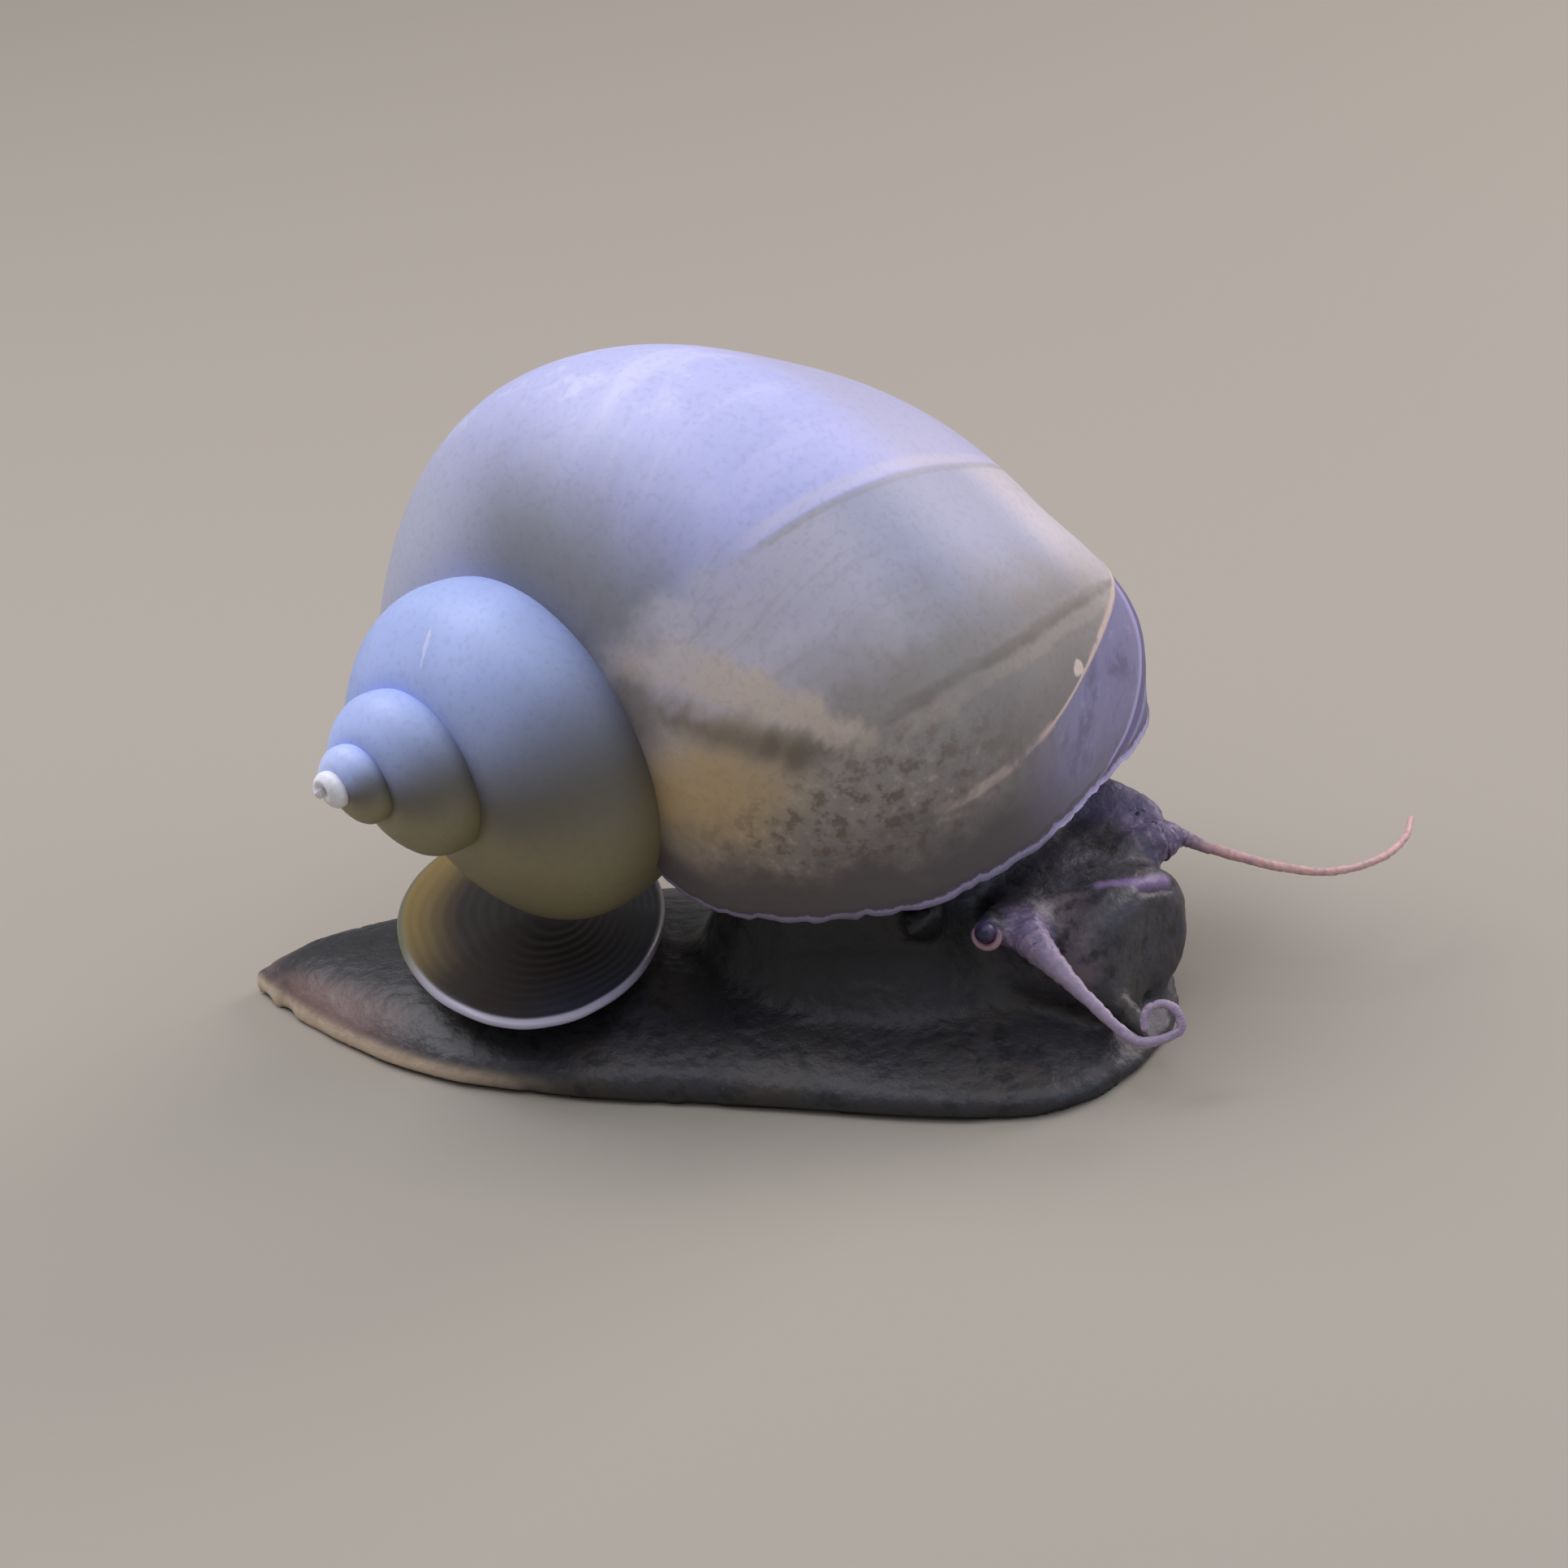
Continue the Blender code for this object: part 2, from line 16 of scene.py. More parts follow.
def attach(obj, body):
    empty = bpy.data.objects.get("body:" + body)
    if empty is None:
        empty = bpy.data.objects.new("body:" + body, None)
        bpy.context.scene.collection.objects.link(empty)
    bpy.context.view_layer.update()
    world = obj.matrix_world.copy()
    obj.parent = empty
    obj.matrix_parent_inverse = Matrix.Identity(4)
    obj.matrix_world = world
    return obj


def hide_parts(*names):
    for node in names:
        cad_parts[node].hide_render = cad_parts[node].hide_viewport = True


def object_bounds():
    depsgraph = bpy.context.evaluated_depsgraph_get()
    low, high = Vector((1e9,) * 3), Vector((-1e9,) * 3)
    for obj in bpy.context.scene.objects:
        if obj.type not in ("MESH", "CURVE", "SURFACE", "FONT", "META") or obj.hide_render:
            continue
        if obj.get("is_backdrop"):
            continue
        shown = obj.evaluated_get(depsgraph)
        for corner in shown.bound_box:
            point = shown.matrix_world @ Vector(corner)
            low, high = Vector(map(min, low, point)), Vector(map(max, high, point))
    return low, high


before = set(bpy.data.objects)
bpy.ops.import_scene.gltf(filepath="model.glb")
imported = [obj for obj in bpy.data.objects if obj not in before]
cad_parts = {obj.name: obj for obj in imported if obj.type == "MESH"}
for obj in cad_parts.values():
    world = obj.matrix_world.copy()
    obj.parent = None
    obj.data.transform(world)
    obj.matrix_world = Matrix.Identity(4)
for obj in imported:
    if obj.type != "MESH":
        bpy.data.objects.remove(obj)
CAD_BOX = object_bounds()
print("solids:", len(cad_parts), "box:", CAD_BOX)

# %% [markdown]
# ## Units and place
# Sizes are easiest to read in millimetres, with X measured from the tip of the tail. Blender
# works in metres, and the model's origin lies under the middle of its box. One function moves a
# point from the first way of counting to the second, and every piece goes through it.

# %% Units and place
MM = 0.001
TAU = 2 * math.pi
MIDDLE = Vector((31.6, 1.65, 0.0))


def placed(point):
    """A point in millimetres from the tip of the tail, as Blender needs it."""
    return (point - MIDDLE) * MM


def between(low, high, value):
    """0 at low, 1 at high and a smooth slope from one to the other."""
    share = min(1.0, max(0.0, (value - low) / (high - low)))
    return share * share * (3 - 2 * share)


print("the tip of the tail lies at", [round(value, 4) for value in placed(Vector())])

# %% [markdown]
# ## Camera
# The view is a close one, through a long lens, from the snail's right side and a little above it,
# with the horizon leaning by a few degrees. Turning the camera by hand would mix these three
# angles up, so its directions are worked out from them, which keeps each easy to change.

# %% Camera
CAMERA_PLACE = Vector((92.1, -227.1, 123.3))
CAMERA_TURN = math.radians(15)
CAMERA_RISE = math.radians(25)
CAMERA_LEAN = math.radians(5)
LENS_MM = 112.18
SENSOR_MM = 36


def camera_directions():
    """The camera's right, up and backward directions, as columns of its rotation."""
    level = Vector((math.cos(CAMERA_TURN), math.sin(CAMERA_TURN), 0))
    out = Vector((level.y, -level.x, 0))
    back = out * math.cos(CAMERA_RISE) + Vector((0, 0, math.sin(CAMERA_RISE)))
    upright = back.cross(level)
    right = level * math.cos(CAMERA_LEAN) - upright * math.sin(CAMERA_LEAN)
    up = level * math.sin(CAMERA_LEAN) + upright * math.cos(CAMERA_LEAN)
    return Matrix((right, up, back)).transposed()


camera = bpy.data.objects.new("camera", bpy.data.cameras.new("camera"))
camera.data.lens = LENS_MM
camera.data.sensor_width = SENSOR_MM
camera.data.clip_start = 10 * MM
camera.matrix_world = Matrix.Translation(placed(CAMERA_PLACE)) @ camera_directions().to_4x4()
bpy.context.scene.collection.objects.link(camera)
bpy.context.scene.camera = camera
print("camera", [round(value, 4) for value in camera.location])

# %% [markdown]
# ## Laying a sheet over rings
# Nearly every piece here is a sheet wrapped round a row of rings: the coil of the shell, the
# foot, the neck, the head and the feelers. So one function makes them all. Blender's grid operator
# gives the sheet, and its rows and columns give a UV map. Then each corner is set on the ring and
# the place round the ring that it stands for, the two long edges are merged, and the two open ends
# are filled.

# %% Laying a sheet over rings
MERGED = 0.0001 * MM


def wrap_rings(rings, marks=None):
    """A closed skin over rings of points. marks is a function of the ring and the place round it,
    which gives the numbers to store at that corner, by name."""
    bm = bmesh.new()
    uv = bm.loops.layers.uv.new("growth")
    columns, rows = len(rings) - 1, len(rings[0])
    bmesh.ops.create_grid(bm, x_segments=columns, y_segments=rows, size=0.5)
    names = marks(0, 0) if marks else ()
    layers = {name: bm.verts.layers.float.new(name) for name in names}
    corner = {}
    for vert in bm.verts:
        corner[vert] = (round((vert.co.x + 0.5) * columns), round((vert.co.y + 0.5) * rows))
    for face in bm.faces:
        for loop in face.loops:
            column, row = corner[loop.vert]
            loop[uv].uv = (column / columns, row / rows)
    for vert, (column, row) in corner.items():
        vert.co = placed(rings[column][row % rows])
        numbers = marks(column, row % rows) if marks else {}
        for name, number in numbers.items():
            vert[layers[name]] = number
    bmesh.ops.remove_doubles(bm, verts=bm.verts, dist=MERGED)
    rims = [edge for edge in bm.edges if edge.is_boundary]
    caps = bmesh.ops.holes_fill(bm, edges=rims, sides=0)["faces"]
    bmesh.ops.poke(bm, faces=caps)
    bmesh.ops.recalc_face_normals(bm, faces=bm.faces)
    return bm


def add_piece(name, bm):
    """Puts a finished mesh into the scene as an object with smooth shading."""
    mesh = bpy.data.meshes.new(name)
    bm.to_mesh(mesh)
    bm.free()
    mesh.shade_smooth()
    piece = bpy.data.objects.new(name, mesh)
    bpy.context.scene.collection.objects.link(piece)
    return piece


print("edges closer than", MERGED / MM, "mm are merged")

# %% [markdown]
# ## The coil of the shell
# A snail makes its shell by adding at the lip. Each turn of the coil is the last one made 2.05
# times larger, so the whole shell follows from one cross-section, one growth and the shape of the
# lip. Modelling whorl by whorl would take longer and fit less well. Places on the shell are then
# best named by two angles: how far they lie behind the lip, and where they lie round the
# cross-section. Every growth line is a line of one depth behind the lip.

# %% Sizes of the coil
# The cross-section is given in millimetres as it is where the coil's turn is 0. The lip lies a
# little beyond, and leans. SECTION_UP is towards the apex and SECTION_DOWN away from it.
WHORL_GROWTH = 2.05
TURNS = 5.2
SECTION_OUT = 10.65
SECTION_HALF = 10.2
SECTION_BELOW = 26.9
SECTION_UP = 12.05
SECTION_DOWN = 15.85
SECTION_TILT = math.radians(4)
SQUARENESS = 0.043
PEAR = 0.018
PEAR_SIDE = math.radians(27)
LAST_TURN_WIDENING = 0.03
LIP_FLARE = 0.010
LIP_SWELLING = 0.042
LIP_FLARE_LENGTH = math.radians(60)
LIP_TURN = math.radians(26.4)
LIP_LEAN_TO_APEX = math.radians(6)
LIP_LEAN_INWARD = math.radians(15.8)
APEX = Vector((9.7, -13.8, 19.0))
SHELL_HEADING = math.radians(-129.1)
SHELL_TILT = math.radians(90.2)
SHELL_SPIN = math.radians(79.75)

CARRIED = (
    Matrix.Translation(APEX)
    @ Matrix.Rotation(SHELL_HEADING, 4, "Z")
    @ Matrix.Rotation(SHELL_TILT, 4, "Y")
    @ Matrix.Rotation(SHELL_SPIN, 4, "Z")
)
print("a whorl before the last is", round(1 / WHORL_GROWTH, 3), "of its size")


# %% A point of the coil
def lip_turn(around):
    """The turn of the coil at which the lip lies, which leans to the apex and inward."""
    lean_to_apex = LIP_LEAN_TO_APEX * math.sin(around)
    return LIP_TURN + lean_to_apex - LIP_LEAN_INWARD * math.cos(around)


def coil_point(depth, around, inset=0.0):
    """A point of the shell's surface, depth radians behind the lip, or inset millimetres in from
    the surface. around is 0 on the outside of the coil and a quarter turn towards the apex."""
    turn = lip_turn(around) - depth
    size = WHORL_GROWTH ** (turn / TAU)
    shape = 1 + SQUARENESS * math.cos(4 * around) + PEAR * math.cos(3 * (around - PEAR_SIDE))
    reach = SECTION_UP if math.sin(around) > 0 else SECTION_DOWN
    across = (SECTION_HALF * shape - inset / size) * math.cos(around)
    along = (reach * shape - inset / size) * math.sin(around)
    out = SECTION_OUT + across * math.cos(SECTION_TILT) - along * math.sin(SECTION_TILT)
    up = -SECTION_BELOW + across * math.sin(SECTION_TILT) + along * math.cos(SECTION_TILT)
    inner, top = SECTION_OUT - SECTION_HALF, SECTION_UP - SECTION_BELOW
    near_lip = min(1.0, max(0.0, 1 - depth / LIP_FLARE_LENGTH))
    wider = 1 + LAST_TURN_WIDENING * max(0.0, turn / TAU + 1) ** 2
    wider += LIP_FLARE * near_lip**2 + LIP_SWELLING * math.sin(math.pi * near_lip) ** 2
    out = inner + (out - inner) * wider
    up = top + (up - top) * wider
    return CARRIED @ (Vector((out * math.cos(turn), -out * math.sin(turn), up)) * size)


print("apex to the foot of the lip:", round((coil_point(0, -math.pi / 2) - APEX).length, 1), "mm")

# %% [markdown]
# ## Rests in growth
# An apple snail grows in bouts. Where it rested, the old lip stays as a low ridge, and the newer
# shell beyond it can have another colour. Here there are three such rests: one where the blue
# shell gives way to grey, and two close together near the lip, beyond which the shell is thin and
# violet. Colour alone would look printed on, so each rest is also a real ridge that catches the
# light. Each is an old lip, so its depth is a level part and two leans, in degrees. On the outside
# of the shell the surface stays within its solid: it lies in a little, and less at the ridges.

# %% Rests in growth
RESTS = {
    "blue_rest": (73.2, -11.3, 2.9),
    "older_rest": (39.2, -7.4, 0.9),
    "last_rest": (42.3, -26.3, -2.3),
}
# Heights in millimetres, and half widths in degrees of the coil.
LAID_IN = 0.08
NEWEST_STEP = 0.10
LAST_RIDGE = 0.08
LAST_RIDGE_WIDTH = 0.9
OLDER_RIDGE = 0.04
BLUE_RIDGE = 0.03
OLD_RIDGE_WIDTH = 0.8
WAVES = 0.015
WAVE_LENGTH = 4


def behind_rest(name, depth, around):
    """Degrees from that rest: above 0 in the shell that was there before it."""
    level, lean_in, lean_up = RESTS[name]
    line = level + lean_in * math.cos(around) + lean_up * math.sin(around)
    return math.degrees(depth) - line


def ridge(distance, width):
    """1 at a distance of 0, falling off on both sides like a low hill."""
    return math.exp(-((distance / width) ** 2))


def right_side(around):
    """1 on the side of the whorl that faces forward, fading to 0 on its lower side."""
    return between(-0.05, -0.55, math.sin(around)) * between(-0.2, 0.2, math.cos(around))


def relief(depth, around):
    """How far the surface lies in, in millimetres: all of it a little, less at the rests."""
    last = behind_rest("last_rest", depth, around)
    shown = right_side(around)
    older = behind_rest("older_rest", depth, around)
    blue = behind_rest("blue_rest", depth, around)
    low = LAID_IN + NEWEST_STEP * between(0.8, -0.8, last) * shown
    low -= LAST_RIDGE * ridge(last, LAST_RIDGE_WIDTH) * (0.3 + 0.7 * shown)
    clear = between(0.55, 0.2, math.sin(around)) if math.cos(around) > 0 else 0.0
    low -= OLDER_RIDGE * clear * ridge(older, OLD_RIDGE_WIDTH)
    low -= BLUE_RIDGE * clear * ridge(blue, OLD_RIDGE_WIDTH)
    along = math.degrees(depth) / WAVE_LENGTH
    wave = noise.noise(Vector((along, 0.8 * math.cos(around), math.sin(around))))
    return low + WAVES * (1 + wave)


print("the surface lies in by", round(relief(math.pi, 0.0), 3), "mm half a turn behind the lip")

# %% [markdown]
# ## The shell's surface
# The rings lie 0.3 mm apart along the outside of the newest quarter turn, close enough for its
# ridges, and 0.6 mm apart behind it. They are never more than six degrees apart, so that the small
# whorls at the apex stay round. At the lip the sheet turns in and runs back inside the mouth as
# the inner face of a wall that is half a millimetre thick. The edge itself is ragged, as new shell
# is thin and chips, and it has lost a little more on the far side.

# %% The shell's surface
SHELL_PLACES = 168
RING_STEP = 0.30
OLD_RING_STEP = 0.60
NEWEST = math.radians(90)
WIDEST_STEP = math.radians(6)
OUTSIDE = SECTION_OUT + SECTION_HALF
WALL = 0.5
MOUTH_DEPTH = math.radians(31)
RAGGED = math.radians(1.3)
LIP_SHORT = math.radians(0.3)
CHIPS_REACH = math.radians(6)
COARSE_CHIPS = 7
FINE_CHIPS = 21
FAR_CHIP = math.radians(1.7)
FAR_CHIP_SIDE = 248
FAR_CHIP_HALF_WIDTH = 16
APEX_CUT = 0.45


def coil_depths():
    """Depths of the rings, from the apex to the lip."""
    depths = [0.0]
    while depths[-1] < (TURNS - APEX_CUT) * TAU:
        radius = OUTSIDE * WHORL_GROWTH ** (-depths[-1] / TAU)
        step = RING_STEP if depths[-1] < NEWEST else OLD_RING_STEP
        depths.append(depths[-1] + min(WIDEST_STEP, step / radius))
    return depths[::-1]


def chipped(around):
    """How far the lip's edge falls short, in radians, and never past the lip."""
    across, up = math.cos(around), math.sin(around)
    coarse = noise.noise(Vector((COARSE_CHIPS * across, COARSE_CHIPS * up, 0)))
    fine = noise.noise(Vector((FINE_CHIPS * across, FINE_CHIPS * up, 5)))
    far_side = ridge(math.degrees(around) % 360 - FAR_CHIP_SIDE, FAR_CHIP_HALF_WIDTH)
    return LIP_SHORT + FAR_CHIP * far_side + RAGGED * max(0.0, 0.3 + 0.5 * coarse + 0.9 * fine)


PLACES = [TAU * (row / SHELL_PLACES + 0.5) for row in range(SHELL_PLACES)]
LIP_ROUND = ((0.0, 0.06), (0.0, 0.16), (0.3, 0.30), (0.9, 0.42))
INNER_STEPS = 12
outer_steps = [(depth, 0.0) for depth in coil_depths()]
lip_steps = [(math.radians(depth), inset) for depth, inset in LIP_ROUND]
inner_steps = [(MOUTH_DEPTH * (step + 1) / INNER_STEPS, WALL) for step in range(INNER_STEPS)]
SHELL_RINGS = outer_steps + lip_steps + inner_steps


def shell_ring(step):
    """One ring of the shell, with the chips of its edge and the relief of its outer face."""
    depth, inset = SHELL_RINGS[step]
    points = []
    for around in PLACES:
        short = chipped(around) * between(CHIPS_REACH, 0, depth)
        low = relief(depth, around) if inset == 0 else LAID_IN
        points.append(coil_point(depth + short, around, inset + low))
    return points


print("shell:", len(SHELL_RINGS), "rings of", SHELL_PLACES, "corners")

# %% [markdown]
# ## Marks on the shell
# The painter of this shell needs to know where each spot lies in the growth, not in space. So
# each corner keeps a few numbers: its distance from each rest, and how much it belongs to each
# patch of colour. There is a paler top with worn whitish streaks and clouds of painted highlight, a
# grey shoulder, a yellow patch, mottling below, and a slanting band where the body shows faintly
# through the wall, with a painted shadow below it that reaches down into the suture. The material
# turns the numbers into colour. Each patch has its place in degrees: behind the lip, and round the
# whorl from its outside.

# %% Soft patches
BROAD_WANDER = 3.5
FINE_WANDER = 2.0


def wander(depth, side):
    """A few degrees to and fro, so that no edge on the shell is drawn with a ruler."""
    broad = noise.noise(Vector((depth / 5, side / 9, 2)))
    fine = noise.noise(Vector((depth / 2, side / 4, 7)))
    return BROAD_WANDER * broad + FINE_WANDER * fine


def blotch(depth, side, middle, half_sizes):
    """1 in the middle of an oval patch and 0 outside it."""
    along = (depth - middle[0]) / half_sizes[0]
    across = (side - middle[1]) / half_sizes[1]
    return between(1.35, 0.35, math.hypot(along, across))


print("wander at the outside of the whorl:", round(wander(30, 0), 2), "degrees")

# %% The slanting band and its shadow
BAND_FROM = (31.0, 27.2)
BAND_TO = (62.0, 65.6)
BAND_HALF_WIDTH = 4.5
BAND_WIDENING = 5.0
SHADOW_FROM = (30.0, 31.5)
SHADOW_SLOPE = 2.6
SHADOW_BEND = 0.032
SHADOW_WIDTH = 6.5
DARKEST = (((37.5, 49.0), (3.2, 5.0)), ((34.0, 43.0), (3.2, 5.5)))
SHADE_IN_SUTURE = ((59.0, 84.0), (14.0, 12.0))


def band_mark(depth, side):
    """1 on a soft band that widens and fades as it runs up the whorl, and 0 away from it."""
    share = (depth - BAND_FROM[0]) / (BAND_TO[0] - BAND_FROM[0])
    line = BAND_FROM[1] + (BAND_TO[1] - BAND_FROM[1]) * share + wander(depth, side)
    half_width = BAND_HALF_WIDTH + BAND_WIDENING * min(1.1, max(0.0, share))
    ends = between(-0.15, 0.1, share) * between(1.7, 1.1, share)
    fading = 1 - 0.55 * between(0.6, 1.0, share)
    return ends * fading * between(1.25, 0.7, abs(side - line) / half_width)


def shadow_mark(depth, side):
    """1 on the painted shadow below that band, on its two darkest spots, and on painted shade down in
    the suture.
    """
    run = depth - SHADOW_FROM[0]
    line = SHADOW_FROM[1] + SHADOW_SLOPE * run - SHADOW_BEND * run**2 + wander(depth, side)
    long_shadow = ridge(side - line, SHADOW_WIDTH) * between(-1.0, 2.5, run) * between(33, 24, run)
    spots = [blotch(depth, side, *spot) for spot in DARKEST]
    return max(0.85 * long_shadow, 0.8 * blotch(depth, side, *SHADE_IN_SUTURE), *spots)


print("band in its middle:", round(band_mark(46, 46), 2))

# %% All the marks of a corner
# Below, the small whorls turn slate and olive, which is painted shade on their undersides, and
# lowest a pale olive, which is painted light reflected from the ground. Each colour begins at the
# first of its angles of the turn and is full at the other.
UNDERSIDE_SHADE_AND_REFLECTION = {"slate": (98, 24), "olive": (64, 16), "pale_olive": (26, -12)}
TOP = ((128.0, 6.0), (58.0, 40.0))
YELLOW_PATCH = ((29.0, 74.0), (22.0, 32.0))
MOTTLED = ((17.0, 34.0), (15.0, 44.0))
LIP_LINE_SIDE = -73.0
LIP_LINE_RISE = 45.0
LIP_LINE_LENGTH = 6.2
INNER_FACE_SHIFT = 3.0
SHOULDER = (16, 72)
SHOULDER_PALER = (112, 165)
UNDERSIDE = (-160, -90)
SMALL_WHORLS = (200, 240)


def underside_shade_mark(name, depth):
    """1 below a small whorl, in that colour's band of painted shade and reflected ground light, and 0
    on top and on the last whorl.
    """
    phase = (depth + 180) % 360 - 180
    lowest = between(*UNDERSIDE_SHADE_AND_REFLECTION[name], phase) * between(*UNDERSIDE, phase)
    return lowest * between(*SMALL_WHORLS, depth)


def shell_marks(step, row):
    """Everything that the painter needs to know about one corner of the shell, by name."""
    depth, inset = SHELL_RINGS[step]
    around = PLACES[row]
    degrees = math.degrees(depth)
    side = (math.degrees(around) + 180) % 360 - 180
    cloudy = wander(degrees / 2, side / 2)
    lip_line = LIP_LINE_SIDE + LIP_LINE_RISE * math.exp(-((degrees / LIP_LINE_LENGTH) ** 0.8))
    paler = 0.6 * between(*SHOULDER_PALER, degrees)
    marks = {
        "behind_lip": degrees + INNER_FACE_SHIFT * between(0.3, 0.5, inset),
        "side": side,
        "inside": between(0.05, 0.3, inset),
        "lip_line": side - lip_line,
        "top": blotch(degrees, side, *TOP),
        "shoulder": between(*SHOULDER, side + cloudy) * (1 - paler),
        "band": band_mark(degrees, side),
        "shadow": shadow_mark(degrees, side),
        "yellow": blotch(degrees + wander(degrees, side), side, *YELLOW_PATCH),
        "mottle": blotch(degrees, side, *MOTTLED),
    }
    marks.update({name: behind_rest(name, depth, around) for name in RESTS})
    marks.update({name: underside_shade_mark(name, degrees) for name in UNDERSIDE_SHADE_AND_REFLECTION})
    return marks


shell_rings = [shell_ring(step) for step in range(len(SHELL_RINGS))]
shell = add_piece("shell_surface", wrap_rings(shell_rings, shell_marks))
print("shell:", len(shell.data.polygons), "faces,", len(shell_marks(0, 0)), "marks")

# %% [markdown]
# ## The operculum
# The horny door grows like the shell, round a point near one side, and is carried on the tail. It
# is a thin plate, dished, with fine rings. A flat disc could carry painted rings, but low light
# shows whether they are really raised, so the plate is laid as rings that grow from its nucleus to
# the rim, turn over the edge and come back beneath.

# %% Sizes of the operculum
DOOR_CENTRE = Vector((16.7, -1.0, 5.05))
DOOR_HEADING = math.radians(18)
DOOR_ROLL = math.radians(2.5)
DOOR_HALF_LENGTH = 11.3
DOOR_HALF_WIDTH = 7.4
DOOR_POINTED = 0.08
DOOR_DISH = 0.35
DOOR_HALF_THICKNESS = 0.36
DOOR_PLACES = 120
DOOR_STEPS = 60
DOOR_NUCLEUS = Vector((0.25, 0.12, 0))
DOOR_RINGS = 13
DOOR_RING_HEIGHT = 0.016
DOOR_RING_WOBBLE = 0.6
DOOR_WORN_EDGE = 0.08
DOOR_SUNK = 0.06
DOOR_INSET = 0.1
DOOR_TAIL_SIDE = math.radians(150)
DOOR_NEAR_SIDE = math.radians(92)
# Shares of the way from the nucleus to the rim: the first ring, how much further the top goes, the
# rings over the edge with their shares of the half thickness, and the outermost ring beneath.
DOOR_FIRST = 0.02
DOOR_TOP = 0.93
DOOR_EDGE = ((0.97, 0.8), (0.99, 0.45), (1.0, 0.0), (0.99, -0.45), (0.97, -0.8))
DOOR_BENEATH = 0.9
DOOR_STEPS_BENEATH = 5

DOOR_PLACED = (
    Matrix.Translation(DOOR_CENTRE)
    @ Matrix.Rotation(DOOR_HEADING, 4, "Z")
    @ Matrix.Rotation(DOOR_ROLL, 4, "X")
)
print("operculum:", 2 * DOOR_HALF_LENGTH, "by", 2 * DOOR_HALF_WIDTH, "mm")


# %% Rings of the operculum
def door_ring(out, height, lines):
    """One ring of the door, out being how far to the rim it lies, from 0 to 1."""
    ring = []
    for row in range(DOOR_PLACES):
        turn = TAU * row / DOOR_PLACES
        rim = Vector((math.cos(turn) * (1 + DOOR_POINTED * math.sin(turn)), math.sin(turn), 0))
        spot = DOOR_NUCLEUS.lerp(rim, out)
        wobble = noise.noise(Vector((spot.x * 2, spot.y * 2, 3)))
        line = math.sin(TAU * (out * DOOR_RINGS + DOOR_RING_WOBBLE * wobble))
        line *= between(0.05, 0.3, out)
        edge = noise.noise(Vector((3 * rim.x, 3 * rim.y, 9))) * DOOR_WORN_EDGE * out**6
        level = height + DOOR_DISH * spot.length_squared + edge - DOOR_SUNK
        level += lines * DOOR_RING_HEIGHT * line
        x = spot.x * (DOOR_HALF_WIDTH - DOOR_INSET)
        y = spot.y * (DOOR_HALF_LENGTH - DOOR_INSET)
        ring.append(DOOR_PLACED @ Vector((x, y, level)))
    return ring


def door_marks(ring, row):
    """How far out a corner lies, past 1 on the edge and beneath, how far towards the tail, and
    whether on the snail's right."""
    turn = TAU * row / DOOR_PLACES
    return {
        "to_rim": ring / DOOR_STEPS,
        "to_tail": math.cos(turn - DOOR_TAIL_SIDE),
        "near_side": between(0.1, 0.75, math.cos(turn + DOOR_NEAR_SIDE)),
    }


outs = [DOOR_FIRST + DOOR_TOP * step / DOOR_STEPS for step in range(DOOR_STEPS)]
door_rings = [door_ring(out, DOOR_HALF_THICKNESS, 1) for out in outs]
for out, share in DOOR_EDGE:
    door_rings.append(door_ring(out, DOOR_HALF_THICKNESS * share, 0))
outs = [DOOR_BENEATH * (1 - step / DOOR_STEPS_BENEATH) for step in range(DOOR_STEPS_BENEATH)]
door_rings += [door_ring(out, -DOOR_HALF_THICKNESS, 0) for out in outs]
door = add_piece("operculum_plate", wrap_rings(door_rings, door_marks))
print("operculum:", len(door.data.polygons), "faces")

# %% [markdown]
# ## Shapes of the flesh
# The soft body is one skin, but it is easiest to make as separate shapes that overlap: the foot,
# the neck, the mantle's collar, the head, and the lobes and feelers. They are melted into one
# afterwards. Curves are read from short tables of stations with a Catmull-Rom spline, which
# passes through each station without a kink.


# %% Curves through stations
def smooth_between(before, start, end, after, part):
    """The number or point that lies part of the way from start to end, on a smooth curve."""
    square = part * part
    cube = square * part
    return 0.5 * (
        2 * start
        + (end - before) * part
        + (2 * before - 5 * start + 4 * end - after) * square
        + (3 * start - before - 3 * end + after) * cube
    )


def stations_at(stations, place):
    """The row of a station table at any place along it."""
    last = len(stations) - 2
    index = 0
    while index < last and stations[index + 1][0] < place:
        index += 1
    start, end = stations[index], stations[index + 1]
    before, after = stations[max(index - 1, 0)], stations[min(index + 2, last + 1)]
    part = (place - start[0]) / (end[0] - start[0])
    columns = range(1, len(start))
    return [smooth_between(before[c], start[c], end[c], after[c], part) for c in columns]


def smooth_path(guides, steps):
    """Points and radii along a smooth curve through guides of (point, radius)."""
    path = []
    last = len(guides) - 1
    for index in range(last):
        around = [guides[max(index - 1, 0)], guides[index], guides[index + 1]]
        around.append(guides[min(index + 2, last)])
        for step in range(steps):
            part = step / steps
            point = smooth_between(*[guide[0] for guide in around], part)
            path.append((point, smooth_between(*[guide[1] for guide in around], part)))
    path.append(guides[last])
    return path


print("a quarter of the way up a smooth step:", smooth_between(0.0, 0.0, 1.0, 1.0, 0.25))

# %% Tubes along a path
END_BENDS = (30, 55, 75, 86)


